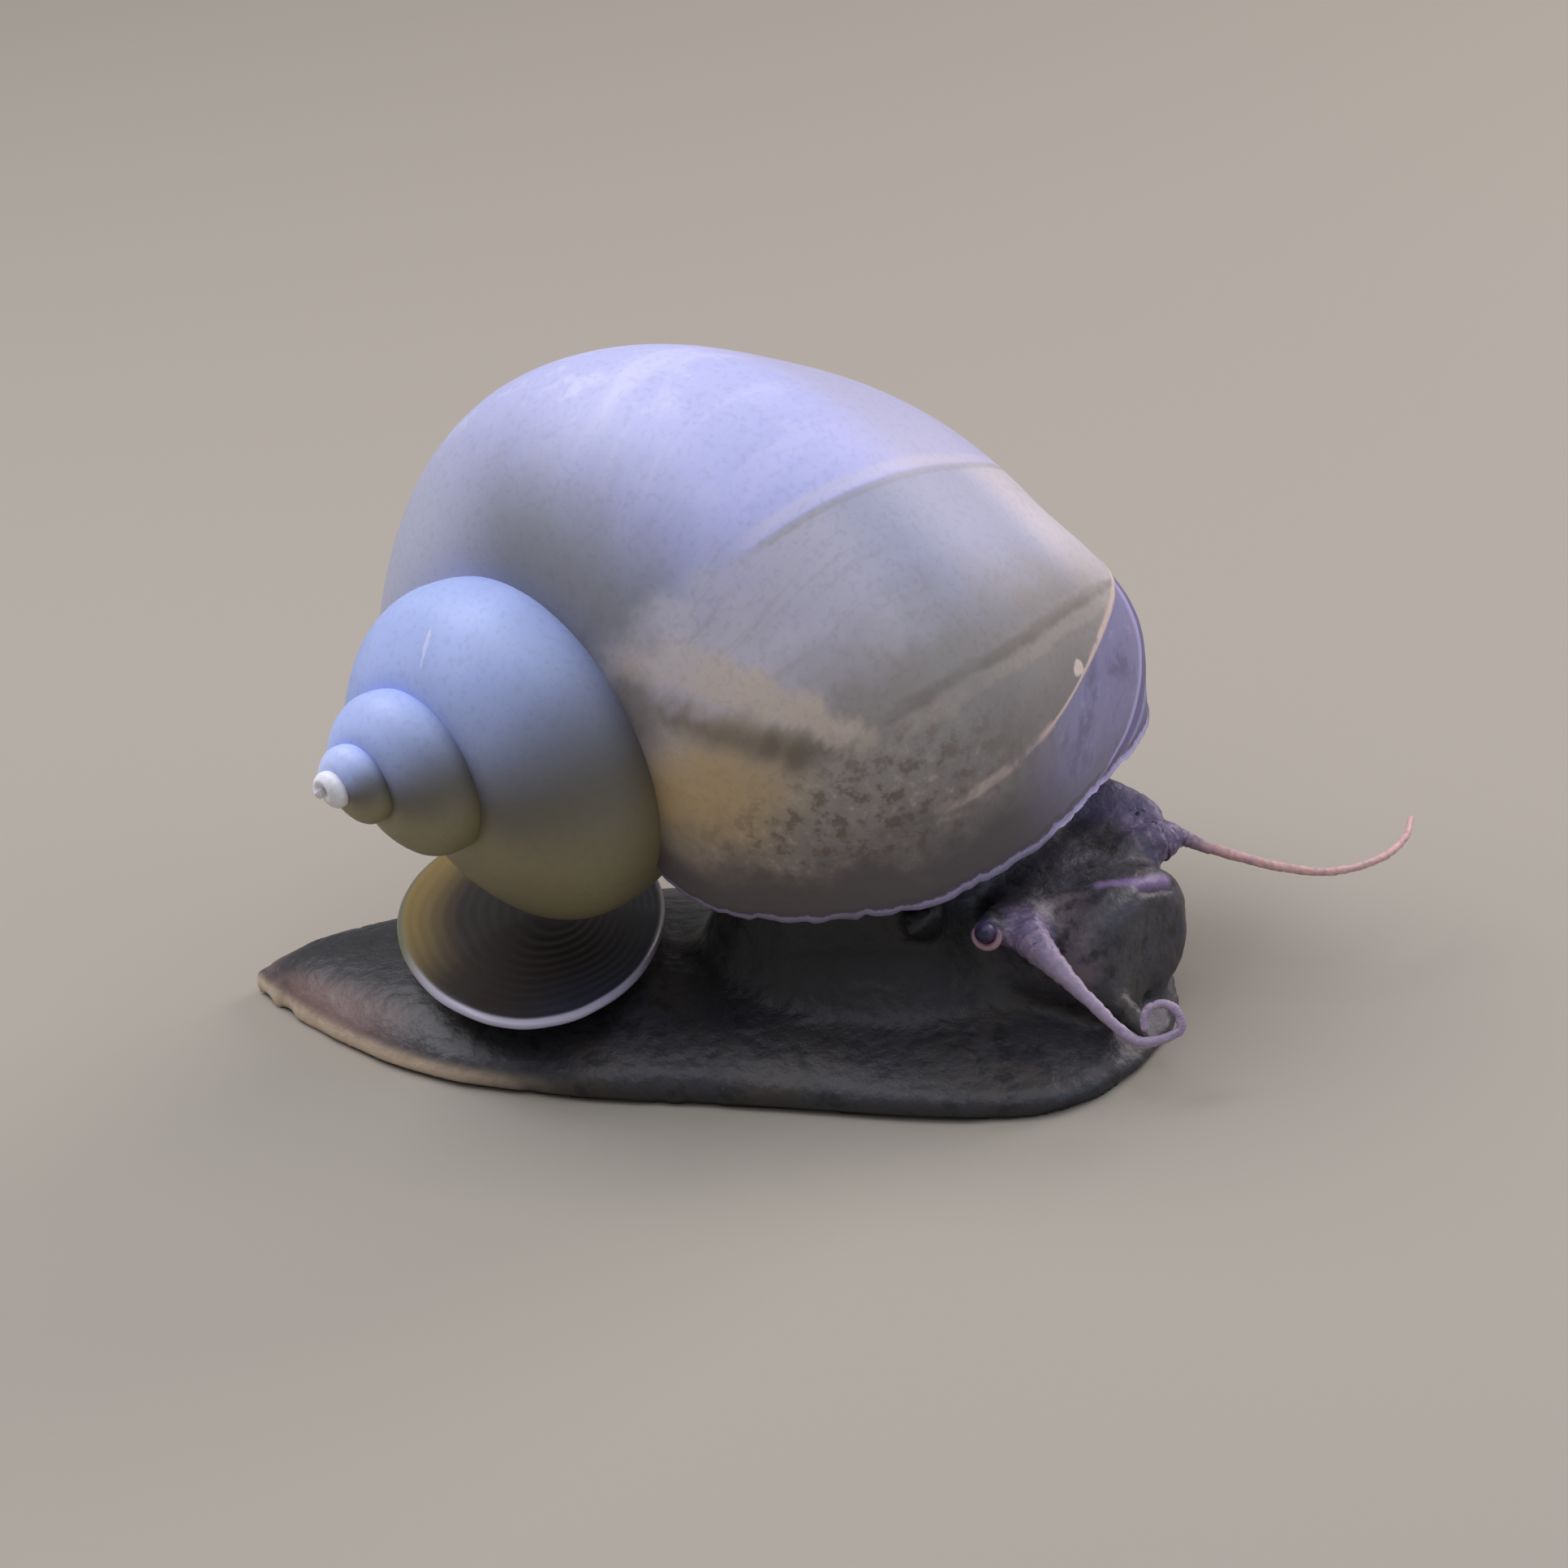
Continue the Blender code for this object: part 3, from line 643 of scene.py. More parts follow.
def tube_rings(path, places, round_end=True):
    """Rings along a path of (point, radius), turned as little as possible, with a round end."""
    directions = []
    for index in range(len(path)):
        before = path[max(index - 1, 0)][0]
        after = path[min(index + 1, len(path) - 1)][0]
        directions.append((after - before).normalized())
    stations = [(point, radius, way) for (point, radius), way in zip(path, directions)]
    if round_end:
        (point, radius), way = path[-1], directions[-1]
        for bend in END_BENDS:
            turn = math.radians(bend)
            stations.append((point + way * radius * math.sin(turn), radius * math.cos(turn), way))
    side = directions[0].cross(Vector((0, 0, 1))).normalized()
    rings = []
    for point, radius, way in stations:
        side = (side - way * side.dot(way)).normalized()
        other = way.cross(side)
        turns = [TAU * row / places for row in range(places)]
        rings.append([point + radius * (math.cos(t) * side + math.sin(t) * other) for t in turns])
    return rings


print("rings in the round end of a tube:", len(END_BENDS))

# %% [markdown]
# ## Foot
# The foot is a flat sole with a thin edge that spreads on the ground, and a low back above it. Its
# cross-section changes all the way from the tail to the front, so a table gives the half width and
# the height at thirteen stations, and a ring is worked out for any place between them. The rings
# lie closer together at both ends, where the outline turns fastest.

# %% Stations of the foot
FOOT_STATIONS = (
    (0.0, 0.5, 1.3),
    (1.2, 1.7, 2.0),
    (3.5, 3.7, 3.0),
    (6.0, 5.7, 3.4),
    (10.0, 8.3, 3.9),
    (14.5, 10.2, 4.2),
    (22.0, 11.3, 4.3),
    (32.0, 11.5, 4.4),
    (40.0, 11.9, 3.9),
    (46.0, 11.3, 2.7),
    (49.0, 9.0, 1.9),
    (51.0, 5.2, 1.3),
    (51.6, 2.6, 1.1),
)
FOOT_FRONT = FOOT_STATIONS[-1][0]
print("foot:", FOOT_FRONT, "mm long,", 2 * max(row[1] for row in FOOT_STATIONS), "mm wide")

# %% Rings of the foot
FOOT_EDGE = 0.75
SOLE_FLATNESS = 2.6
BACK_SLOPE = 1.15
EDGE_SWELLING = 0.25
FRILL = 0.12
FRILL_LENGTH = 2.1
FOOT_PLACES = 96
FOOT_STEPS = 150
# The flesh is drawn in a little from its solids, so that it never leaves them.
DRAWN_IN = 0.03


def foot_ring(x):
    """One cross-section of the foot, drawn in unevenly along its edge."""
    half_width, height = stations_at(FOOT_STATIONS, x)
    edge = min(FOOT_EDGE, 0.5 * height)
    ring = []
    for row in range(FOOT_PLACES):
        turn = TAU * row / FOOT_PLACES
        rise = math.sin(turn)
        side = math.cos(turn)
        uneven = 0.5 + 0.5 * noise.noise(Vector((x / FRILL_LENGTH, 4 * side, 0)))
        frill = FRILL * abs(side) ** 6 * uneven
        if rise >= 0:
            z = edge + (height - edge - DRAWN_IN) * rise**BACK_SLOPE
            z += EDGE_SWELLING * abs(side) ** 8 * (1 - rise)
        else:
            z = edge * max(0.0, 1 + SOLE_FLATNESS * rise)
        ring.append(Vector((x, (half_width - DRAWN_IN - frill) * side, z)))
    return ring


turns = [math.pi * step / FOOT_STEPS for step in range(FOOT_STEPS + 1)]
flesh = [wrap_rings([foot_ring(FOOT_FRONT * (1 - math.cos(turn)) / 2) for turn in turns])]
print("foot:", len(flesh[0].faces), "faces")

# %% [markdown]
# ## Neck
# The neck is the stalk that carries the shell. It joins two outlines that have nothing in common,
# an oval on the foot and the mouth of the shell, so its rings are blends of the one into the
# other. It is waisted, with soft folds that run up it.

# %% Neck
NECK_CENTRE = Vector((35.6, 1.0, 2.6))
NECK_HALF_LENGTH = 11.0
NECK_HALF_WIDTH = 9.0
NECK_TURN = math.radians(-52)
NECK_WAIST = 0.10
NECK_FOLDS = 0.025
NECK_INSET = 3.8
NECK_INTO_SHELL = math.radians(16)
NECK_PLACES = 120
NECK_STEPS = 40


def mouth_ring(depth):
    """A ring round the whorl at that depth, drawn in toward its middle."""
    ring = [coil_point(depth, TAU * row / NECK_PLACES) for row in range(NECK_PLACES)]
    middle = sum(ring, Vector()) / NECK_PLACES
    return [point + (middle - point).normalized() * NECK_INSET for point in ring]


def neck_ring(share, mouth):
    """A ring of the neck: an oval on the foot at 0, the ring in the mouth at 1."""
    ring = []
    for row in range(NECK_PLACES):
        turn = NECK_TURN - TAU * row / NECK_PLACES
        x, y = math.cos(turn) * NECK_HALF_LENGTH, math.sin(turn) * NECK_HALF_WIDTH
        ring.append((NECK_CENTRE + Vector((x, y, 0))).lerp(mouth[row], share))
    middle = sum(ring, Vector()) / NECK_PLACES
    midway = math.sin(math.pi * share)
    waisted = []
    for row, point in enumerate(ring):
        turn = TAU * row / NECK_PLACES
        fold = noise.noise(Vector((6 * math.cos(turn), 6 * math.sin(turn), 1.5 * share)))
        waist = 1 - NECK_WAIST * midway - NECK_FOLDS * (1 + fold) * midway
        waisted.append(middle + (point - middle) * waist)
    return waisted


mouth = mouth_ring(0)
neck_rings = [neck_ring(step / NECK_STEPS, mouth) for step in range(NECK_STEPS + 1)]
neck_rings.append(mouth_ring(NECK_INTO_SHELL))
flesh.append(wrap_rings(neck_rings))
print("neck:", len(flesh[-1].faces), "faces")

# %% [markdown]
# ## The mantle's collar
# The mantle lines the mouth as a thick collar and just shows as a pale, uneven edge along the lip.
# It follows the same coil as the shell, a little further in, so it fits the mouth by itself. Each
# ring has a depth behind the lip, in degrees, and an inset from the wall, in millimetres: out
# along the wall, over the edge and back in.

# %% The mantle's collar
COLLAR = (
    (26.5, 3.4),
    (24.0, 1.5),
    (16.0, 1.3),
    (8.0, 1.2),
    (4.0, 1.1),
    (2.4, 0.95),
    (1.4, 0.8),
    (0.9, 0.85),
    (0.5, 1.05),
    (0.7, 1.4),
    (1.6, 1.9),
    (2.8, 2.5),
    (3.8, 3.4),
)
COLLAR_PLACES = 240
SCALLOP = 1.3
SCALLOP_BULGE = 0.2


def collar_ring(depth, inset):
    """The mantle's collar just behind the lip. Its edge is drawn in and out in small scallops."""
    shown = between(5, 1, depth)
    ring = []
    for row in range(COLLAR_PLACES):
        around = TAU * row / COLLAR_PLACES
        spot = Vector((math.cos(around), math.sin(around), 0))
        scallop = noise.noise(spot * 9) + 0.7 * noise.noise(spot * 24 + Vector((0, 0, 4)))
        back = math.radians(depth + shown * SCALLOP * max(-0.2, scallop))
        ring.append(coil_point(back, around, inset + SCALLOP_BULGE * shown * scallop))
    return ring


flesh.append(wrap_rings([collar_ring(depth, inset) for depth, inset in COLLAR]))
print("collar:", len(flesh[-1].faces), "faces")

# %% [markdown]
# ## Head and snout
# The head is low and broad and ends in a blunt snout, split below by the mouth. A stack of ovals
# would look like a sausage, so its rings are rounded boxes. Three folds run round the snout, where
# it can be drawn in. Each station has a place along the head, half a width, a bottom and a top.

# %% Head and snout
HEAD_START = Vector((42.2, 2.7, 0.0))
HEAD_HEADING = math.radians(-24)
HEAD_STATIONS = (
    (-1.0, 5.9, 1.6, 8.9),
    (2.0, 6.1, 1.4, 9.3),
    (4.6, 5.7, 1.2, 8.9),
    (6.2, 5.2, 1.2, 8.8),
    (7.6, 5.1, 1.2, 8.9),
    (8.6, 4.7, 1.3, 8.6),
    (9.2, 3.6, 1.7, 7.7),
)
BOXINESS = 2.4
HEAD_FORWARD = Vector((math.cos(HEAD_HEADING), math.sin(HEAD_HEADING), 0))
HEAD_LEFT = Vector((-HEAD_FORWARD.y, HEAD_FORWARD.x, 0))
SNOUT_FOLDS = ((4.9, 0.16), (6.9, 0.12), (8.2, 0.10))
FOLD_WIDTH = 0.28
MOUTH_SLIT = 0.9
HEAD_PLACES = 80
HEAD_STEPS = 60


def head_ring(along):
    """One rounded box of the head, that far in millimetres in front of its start."""
    half_width, bottom, top = stations_at(HEAD_STATIONS, along)
    middle = HEAD_START + HEAD_FORWARD * along + Vector((0, 0, (top + bottom) / 2))
    fold = sum(deep * ridge(along - place, FOLD_WIDTH) for place, deep in SNOUT_FOLDS)
    drawn = 1 - fold / half_width
    ring = []
    for row in range(HEAD_PLACES):
        turn = TAU * row / HEAD_PLACES
        across, rise = math.cos(turn), math.sin(turn)
        corner = (abs(across) ** BOXINESS + abs(rise) ** BOXINESS) ** (-1 / BOXINESS)
        slit = MOUTH_SLIT * ridge(across, 0.10) * between(0.2, -0.6, rise)
        slit *= between(6.8, 8.8, along)
        high = ((top - bottom) / 2 - DRAWN_IN) * rise * corner * drawn * (1 - 0.35 * slit)
        wide = across * corner * (half_width - DRAWN_IN) * drawn
        back = HEAD_FORWARD * -0.5 * slit
        ring.append(middle + HEAD_LEFT * wide + Vector((0, 0, high)) + back)
    return ring


head_back, head_front = HEAD_STATIONS[0][0], HEAD_STATIONS[-1][0]
head_length = head_front - head_back
head_places = [head_back + head_length * step / HEAD_STEPS for step in range(HEAD_STEPS + 1)]
flesh.append(wrap_rings([head_ring(along) for along in head_places]))
print("head:", round(head_length, 1), "mm long,", len(flesh[-1].faces), "faces")

# %% [markdown]
# ## Feelers
# Two long feelers rise from the head, thick at the root and thin as thread towards the tip. Each
# is a tube along guides of a point and a radius, and the right one ends in a hook, whose guides
# are worked out along an arc.

# %% Guides of the feelers
FEELER_RIGHT = (
    (Vector((44.0, -1.9, 7.6)), 1.35),
    (Vector((45.0, -5.0, 7.7)), 1.15),
    (Vector((46.6, -6.5, 6.8)), 0.72),
    (Vector((48.4, -7.7, 5.6)), 0.46),
    (Vector((50.2, -8.7, 4.4)), 0.36),
    (Vector((51.5, -8.9, 3.75)), 0.33),
)
CURL_CENTRE = Vector((52.3, -8.2, 4.6))
CURL_RADIUS = 1.08
CURL_TIP_RADIUS = 0.85
CURL_LEAN = math.radians(25)
CURL_TURN = math.radians(15)
CURL_FROM = math.radians(-75)
CURL_TO = math.radians(195)
CURL_GUIDES = 7
CURL_THICKNESS = (0.32, 0.26)
FEELER_LEFT = (
    (Vector((47.4, 3.8, 7.2)), 1.48),
    (Vector((50.2, 5.6, 8.1)), 1.23),
    (Vector((51.25, 6.6, 7.85)), 0.58),
    (Vector((52.7, 6.3, 7.5)), 0.38),
    (Vector((55.0, 5.8, 7.1)), 0.33),
    (Vector((57.2, 5.8, 6.6)), 0.30),
    (Vector((59.4, 6.2, 6.3)), 0.28),
    (Vector((61.6, 7.7, 6.3)), 0.27),
    (Vector((62.8, 9.9, 6.5)), 0.26),
    (Vector((63.0, 11.6, 6.9)), 0.25),
)


def curl_guides():
    """The hook at the end of the right feeler, in a plane that leans back."""
    across = Vector((math.cos(CURL_TURN), math.sin(CURL_TURN), 0))
    upward = Vector((math.sin(CURL_TURN), -math.cos(CURL_TURN), 0)) * -math.sin(CURL_LEAN)
    upward.z = math.cos(CURL_LEAN)
    guides = []
    for guide in range(1, CURL_GUIDES + 1):
        share = guide / CURL_GUIDES
        turn = CURL_FROM + (CURL_TO - CURL_FROM) * share
        radius = CURL_RADIUS + (CURL_TIP_RADIUS - CURL_RADIUS) * share
        point = CURL_CENTRE + radius * (math.cos(turn) * across + math.sin(turn) * upward)
        thick, thin = CURL_THICKNESS
        guides.append((point, thick - (thick - thin) * share))
    return guides


print("guides of the feelers:", len(FEELER_RIGHT) + CURL_GUIDES, "and", len(FEELER_LEFT))

# %% Roots of the feelers
# Only the thick roots are melted into the flesh. Each narrows at its end, inside the thin tube
# that is joined on later.
FEELER_STEPS = 14
ROOT_LENGTH = 2 * FEELER_STEPS
ROOT_END = (0.96, 0.9, 0.8, 0.65, 0.4)
ROOT_PLACES = 32

right_path = smooth_path([*FEELER_RIGHT, *curl_guides()], FEELER_STEPS)
left_path = smooth_path(FEELER_LEFT, FEELER_STEPS)
shrink = [1.0] * ROOT_LENGTH + list(ROOT_END)
for path in (right_path, left_path):
    root = [(point, radius * part) for (point, radius), part in zip(path, shrink)]
    flesh.append(wrap_rings(tube_rings(root, ROOT_PLACES)))
print("points along the feelers:", len(right_path), "and", len(left_path))

# %% [markdown]
# ## Eye stalks and lobes
# Beside each feeler's root stands a short stalk with the eye at its end. The far eye sits in a
# bump of flesh, so a ball is added there. Two horns, the labial palps, stand at the corners of the
# snout. A fold of the neck on the left is the siphon, and a smaller one lies on the right. All of
# them are round in section and taper, so all are tubes.

# %% Eye stalks
EYE_RADIUS = 0.72
EYE_STALKS = {
    "right": ((Vector((43.6, -2.9, 7.7)), 1.22), (Vector((43.0, -6.2, 8.25)), 0.87)),
    "left": ((Vector((46.2, 5.4, 7.5)), 1.57), (Vector((48.5, 7.4, 8.1)), 0.97)),
}
STALK_STEPS = 8
STALK_PLACES = 32
FAR_EYE_LOOKS = Vector((0.25, -0.72, 0.65)).normalized()
FAR_BUMP_RADIUS = 0.66
FAR_BUMP_SUNK = 0.06
BUMP_PLACES = 32


def eye_middle(side):
    """The middle of the solid eye on that side, a little past the end of its stalk."""
    (root, _), (end, _) = EYE_STALKS[side]
    return end + ((end - root).normalized() + Vector((0, 0, 0.5))) * EYE_RADIUS * 0.5


def eye_way(side):
    """The direction in which that eye looks. The near one looks along its stalk."""
    (root, _), (end, _) = EYE_STALKS[side]
    return FAR_EYE_LOOKS if side == "left" else (end - root).normalized()


def ball(middle, radius, places):
    """A sphere round a point in millimetres, with that many corners round it."""
    bm = bmesh.new()
    bmesh.ops.create_uvsphere(bm, u_segments=places, v_segments=places // 2, radius=radius * MM)
    bmesh.ops.translate(bm, verts=bm.verts, vec=placed(middle))
    return bm


for stalk in EYE_STALKS.values():
    flesh.append(wrap_rings(tube_rings(smooth_path(stalk, STALK_STEPS), STALK_PLACES, False)))
bump_middle = eye_middle("left") - FAR_EYE_LOOKS * FAR_BUMP_SUNK
flesh.append(ball(bump_middle, FAR_BUMP_RADIUS, BUMP_PLACES))
print("the right eye is", round(eye_middle("right").z, 2), "mm above the ground")

# %% Lobes
# Each lobe has its guide points, its radii, its steps between guides and its corners round it.
PALP_RADII = (1.1, 0.75, 0.32)
LOBES = {
    "siphon": (
        (
            Vector((42.0, 7.2, 8.2)),
            Vector((45.8, 8.7, 8.7)),
            Vector((48.0, 8.75, 8.6)),
            Vector((49.6, 7.85, 8.3)),
            Vector((50.4, 6.4, 8.05)),
        ),
        (2.35, 1.75, 1.1, 0.78, 0.58),
        10,
        48,
    ),
    "right lobe": (
        (Vector((39.6, -4.4, 8.4)), Vector((39.4, -6.2, 8.9)), Vector((39.25, -7.0, 8.75))),
        (1.3, 1.0, 0.65),
        8,
        32,
    ),
    "right palp": (
        (Vector((48.6, -3.0, 3.4)), Vector((50.3, -5.0, 2.8)), Vector((51.7, -6.3, 1.9))),
        PALP_RADII,
        10,
        28,
    ),
    "left palp": (
        (Vector((49.2, 2.4, 3.4)), Vector((50.3, 4.5, 2.9)), Vector((50.75, 5.55, 2.2))),
        PALP_RADII,
        10,
        28,
    ),
}

for name, (points, radii, steps, places) in LOBES.items():
    path = smooth_path(list(zip(points, radii)), steps)
    flesh.append(wrap_rings(tube_rings(path, places)))
    print(name, "narrows from a radius of", radii[0], "to", radii[-1], "mm")

# %% [markdown]
# ## One skin
# The shapes are joined into one mesh and remeshed on a grid of 0.25 mm, which melts them into a
# single closed skin. A few rounds of smoothing take away the steps of the grid and soften the
# creases where the shapes met, as flesh does. The feelers are thinner than such a grid can hold,
# so they are tubes joined on by a Boolean union, inside the thick roots that the grid did make.


# %% Joining meshes
def joined(name, meshes):
    """One object out of several meshes, which still only overlap."""
    whole = bmesh.new()
    for part in meshes:
        scratch = bpy.data.meshes.new("scratch")
        part.to_mesh(scratch)
        part.free()
        whole.from_mesh(scratch)
        bpy.data.meshes.remove(scratch)
    return add_piece(name, whole)


def apply_modifiers(piece):
    """Takes the mesh as its modifiers leave it, and removes them."""
    graph = bpy.context.evaluated_depsgraph_get()
    done = bpy.data.meshes.new_from_object(piece.evaluated_get(graph))
    piece.modifiers.clear()
    old = piece.data
    piece.data = done
    bpy.data.meshes.remove(old)


def join_on(skin, thin):
    """Joins a thin piece on by a Boolean union, which keeps every corner of it."""
    union = skin.modifiers.new("join on", "BOOLEAN")
    union.operation = "UNION"
    union.solver = "EXACT"
    union.object = thin
    apply_modifiers(skin)
    bpy.data.objects.remove(thin)
    skin.data.shade_smooth()


print("shapes of flesh to join:", len(flesh))

# %% Softening
CREASE = math.radians(9)
CREASE_REACH = 5
CREASE_ROUNDS = 30
GRID_ROUNDS = 3
LAST_ROUNDS = 1


def smooth(bm, verts, rounds):
    """Moves each corner halfway to the mean of its neighbours, that many times."""
    for _ in range(rounds):
        bmesh.ops.smooth_vert(
            bm, verts=verts, factor=0.5, use_axis_x=True, use_axis_y=True, use_axis_z=True
        )


def soften(mesh):
    """Takes away the steps of the grid, then rounds the creases between the joined shapes."""
    bm = bmesh.new()
    bm.from_mesh(mesh)
    smooth(bm, bm.verts, GRID_ROUNDS)
    bm.normal_update()
    near = set()
    for edge in bm.edges:
        if edge.calc_face_angle_signed(0.0) < -CREASE:
            near.update(edge.verts)
    for _ in range(CREASE_REACH):
        near.update([other for vert in near for edge in vert.link_edges for other in edge.verts])
    smooth(bm, list(near), CREASE_ROUNDS)
    smooth(bm, bm.verts, LAST_ROUNDS)
    bm.to_mesh(mesh)
    bm.free()


print("creases sharper than", round(math.degrees(CREASE)), "degrees are rounded")

# %% One skin
SKIN_GRID = 0.25
FEELER_PLACES = 20
FEELER_RING_STEPS = 3.5
FEELER_WAIST = 0.965
FEELER_WAVE = 0.03


def feeler_rings(path):
    """The whole feeler from inside its root to the tip, with the fine rings of its skin."""
    ringed = []
    for index, (point, radius) in enumerate(path[FEELER_STEPS:]):
        wave = math.sin(TAU * index / FEELER_RING_STEPS) + 0.5 * noise.noise(point * 3)
        ringed.append((point, radius * (FEELER_WAIST + FEELER_WAVE * wave)))
    return tube_rings(ringed, FEELER_PLACES)


skin = joined("skin", flesh)
melt = skin.modifiers.new("melt together", "REMESH")
melt.mode = "VOXEL"
melt.voxel_size = SKIN_GRID * MM
apply_modifiers(skin)
soften(skin.data)
feelers = [wrap_rings(feeler_rings(path)) for path in (right_path, left_path)]
join_on(skin, joined("feelers", feelers))
print("skin:", len(skin.data.polygons), "faces")

# %% [markdown]
# ## Folds of the skin
# Skin that can shrink into a shell is never smooth. It is pressed in by soft folds one to three
# millimetres apart, and never pushed out. It still lies up to 0.3 mm outside the solids where it
# rounds the creases between parts, and about 1 mm round the far eye and in the shell's mouth.
# Bumps in the material alone would leave the outline smooth, so the folds are real. The sole is
# pressed flat again, since the model stands on it.

# %% Lines on the head
HEAD_STRIP = [
    Vector((48.2, -0.9, 8.75)),
    Vector((49.2, -0.6, 8.72)),
    Vector((50.0, -0.3, 8.55)),
    Vector((50.7, 0.5, 8.25)),
    Vector((51.25, 1.7, 7.8)),
]
GROOVE = [point + Vector((0.30, -0.25, -0.35)) for point in HEAD_STRIP]


def segment_distance(spot, line):
    """Millimetres from a spot to a line drawn through points."""
    least = math.inf
    for start, end in zip(line, line[1:]):
        along = end - start
        share = min(1.0, max(0.0, (spot - start).dot(along) / along.length_squared))
        least = min(least, (spot - start - along * share).length)
    return least


print("from the strip to its groove:", round(segment_distance(GROOVE[2], HEAD_STRIP), 2), "mm")

# %% Pressing the folds
FOLD_DEPTH = 0.07
FOLDS_ALONG = 0.45
FOLDS_ACROSS = 0.9
SHORT_FOLDS = 1.6
WRINKLE_DEPTH = 0.045
WRINKLES_ON_HEAD = 0.9
WRINKLES_ON_FOOT = 1.3
NECK_ENDS = 40
GROOVE_DEPTH = 0.22
GROOVE_WIDTH = 0.22
GROOVE_REACH = 47
SOLE_LEVEL = 0.12


def wrinkle(spot):
    """Fine creases, closer together on the head than on the foot, from 0 to 1."""
    size = WRINKLES_ON_HEAD if spot.x > NECK_ENDS else WRINKLES_ON_FOOT
    warp = noise.noise(spot * 0.5) * 2
    cells = noise.noise(Vector((spot.x / size, spot.y / size + warp, spot.z / size)))
    return 1 - between(0.0, 0.22, abs(cells))


def press_folds(mesh):
    """Presses folds, wrinkles and the groove into the skin, and its sole flat."""
    bm = bmesh.new()
    bm.from_mesh(mesh)
    bm.normal_update()
    for vert in bm.verts:
        spot = vert.co / MM + MIDDLE
        stretched = (spot.x * FOLDS_ALONG, spot.y * FOLDS_ACROSS, spot.z * FOLDS_ACROSS)
        wide = noise.noise(Vector(stretched))
        short = noise.noise(spot * SHORT_FOLDS)
        fold = FOLD_DEPTH * (0.55 + 0.6 * wide + 0.35 * short)
        fold = max(0.0, fold) + WRINKLE_DEPTH * wrinkle(spot)
        if spot.x > GROOVE_REACH:
            fold += GROOVE_DEPTH * ridge(segment_distance(spot, GROOVE), GROOVE_WIDTH)
        vert.co -= vert.normal * fold * between(0.1, 0.8, spot.z) * MM
    for vert in bm.verts:
        if vert.co.z < SOLE_LEVEL * MM:
            vert.co.z = 0
    bm.to_mesh(mesh)
    bm.free()


press_folds(skin.data)
on_sole = sum(1 for vert in skin.data.vertices if vert.co.z == 0)
print("corners on the sole:", on_sole, "of", len(skin.data.vertices))

# %% [markdown]
# ## Rims of the eyes
# Round each eye the stalk ends in a swollen pink rim, open above. It is a short bent tube, thinner
# at its ends, and is joined on in the same way as the feelers, because it is also too fine for the
# grid. Each rim has its radius, its thickness, half the turn that it takes, and how far it is set
# back.

# %% Rims of the eyes
EYE_RIMS = {
    "right": (0.69, 0.20, math.radians(112), 0.10),
    "left": (0.54, 0.12, math.radians(175), -0.40),
}
RIM_STEPS = 14
RIM_PLACES = 16


def rim_path(side):
    """The middle line of an eye's rim, open at the top, thinner at its ends."""
    way = eye_way(side)
    stalk_end = EYE_STALKS[side][1][0]
    middle = eye_middle(side) if side == "left" else stalk_end
    radius, thickness, half_turn, set_back = EYE_RIMS[side]
    down = (Vector((0, 0, -1)) + way * way.z).normalized()
    across = way.cross(down)
    path = []
    for step in range(2 * RIM_STEPS + 1):
        share = step / RIM_STEPS - 1
        turn = half_turn * share
        round_it = math.cos(turn) * down + math.sin(turn) * across
        point = middle - way * set_back + radius * round_it
        path.append((point, thickness * (1 - 0.5 * share**4)))
    return path


rims = [rim_path(side) for side in EYE_STALKS]
join_on(skin, joined("rims", [wrap_rings(tube_rings(path, RIM_PLACES)) for path in rims]))
print("skin with rims:", len(skin.data.polygons), "faces")

# %% [markdown]
# ## Marks on the skin
# The skin is blue-black, but its thin parts are paler, because light gets into them: the edge of
# the foot, most of all on the tail, the feelers, the rims of the eyes and the ragged edge of the
# mantle along the lip. The cheek is greyer, and one strip on the head is violet. The neck under
# the shell is darkened with painted shade, and the top of the tail is darker too. To find such
# places in the material itself would take a great many nodes. So each corner of the skin keeps how
# much it belongs to each place, or how many millimetres it lies from it.

# %% Distances on the skin
JUST_INSIDE = 0.01
FRONT_STRETCH = 1.2
BEHIND_TIP = 0.5
MANTLE_EDGE = (0.5, 1.2)


def tree_of(points):
    """A search tree, which quickly finds the nearest of many points."""
    tree = kdtree.KDTree(len(points))
    for index, point in enumerate(points):
        tree.insert(point, index)
    tree.balance()
    return tree


def foot_half_width(spot):
    """Half the width of the foot at the spot's place along it."""
    x = min(max(spot.x, JUST_INSIDE), FOOT_FRONT - JUST_INSIDE)
    return stations_at(FOOT_STATIONS, x)[0]


def foot_edge_distance(spot):
    """Millimetres from a spot on the foot to the foot's outline, seen from above."""
    to_side = foot_half_width(spot) - abs(spot.y)
    return min(to_side, (FOOT_FRONT - spot.x) * FRONT_STRETCH, spot.x + BEHIND_TIP)


def run_along(path):
    """Each point of a path with its way on and its millimetres from the start."""
    run = 0.0
    steps = []
    for (here, _), (there, _) in zip(path, path[1:]):
        steps.append((here, (there - here).normalized(), run))
        run += (there - here).length
    return steps


FEELER_RUNS = [step for path in (right_path, left_path) for step in run_along(path)]
FEELER_TREE = tree_of([point for point, way, run in FEELER_RUNS])
RIGHT_STEPS = len(right_path) - 1
MANTLE_TREE = tree_of(collar_ring(*MANTLE_EDGE))
RIM_TREE = tree_of([point for path in rims for point, radius in path])
NEAR_EYE = eye_middle("right")
FAR_FLESH = [Vector((45.0, 8.2, 8.8)), Vector((48.6, 8.4, 8.8)), Vector((50.4, 5.8, 8.6))]
CHEEK = [Vector((46.6, -2.4, 7.9)), Vector((47.0, -4.0, 7.0)), Vector((47.6, -4.9, 5.9))]
print("feelers:", [round(FEELER_RUNS[step][2], 1) for step in (RIGHT_STEPS - 1, -1)], "mm long")

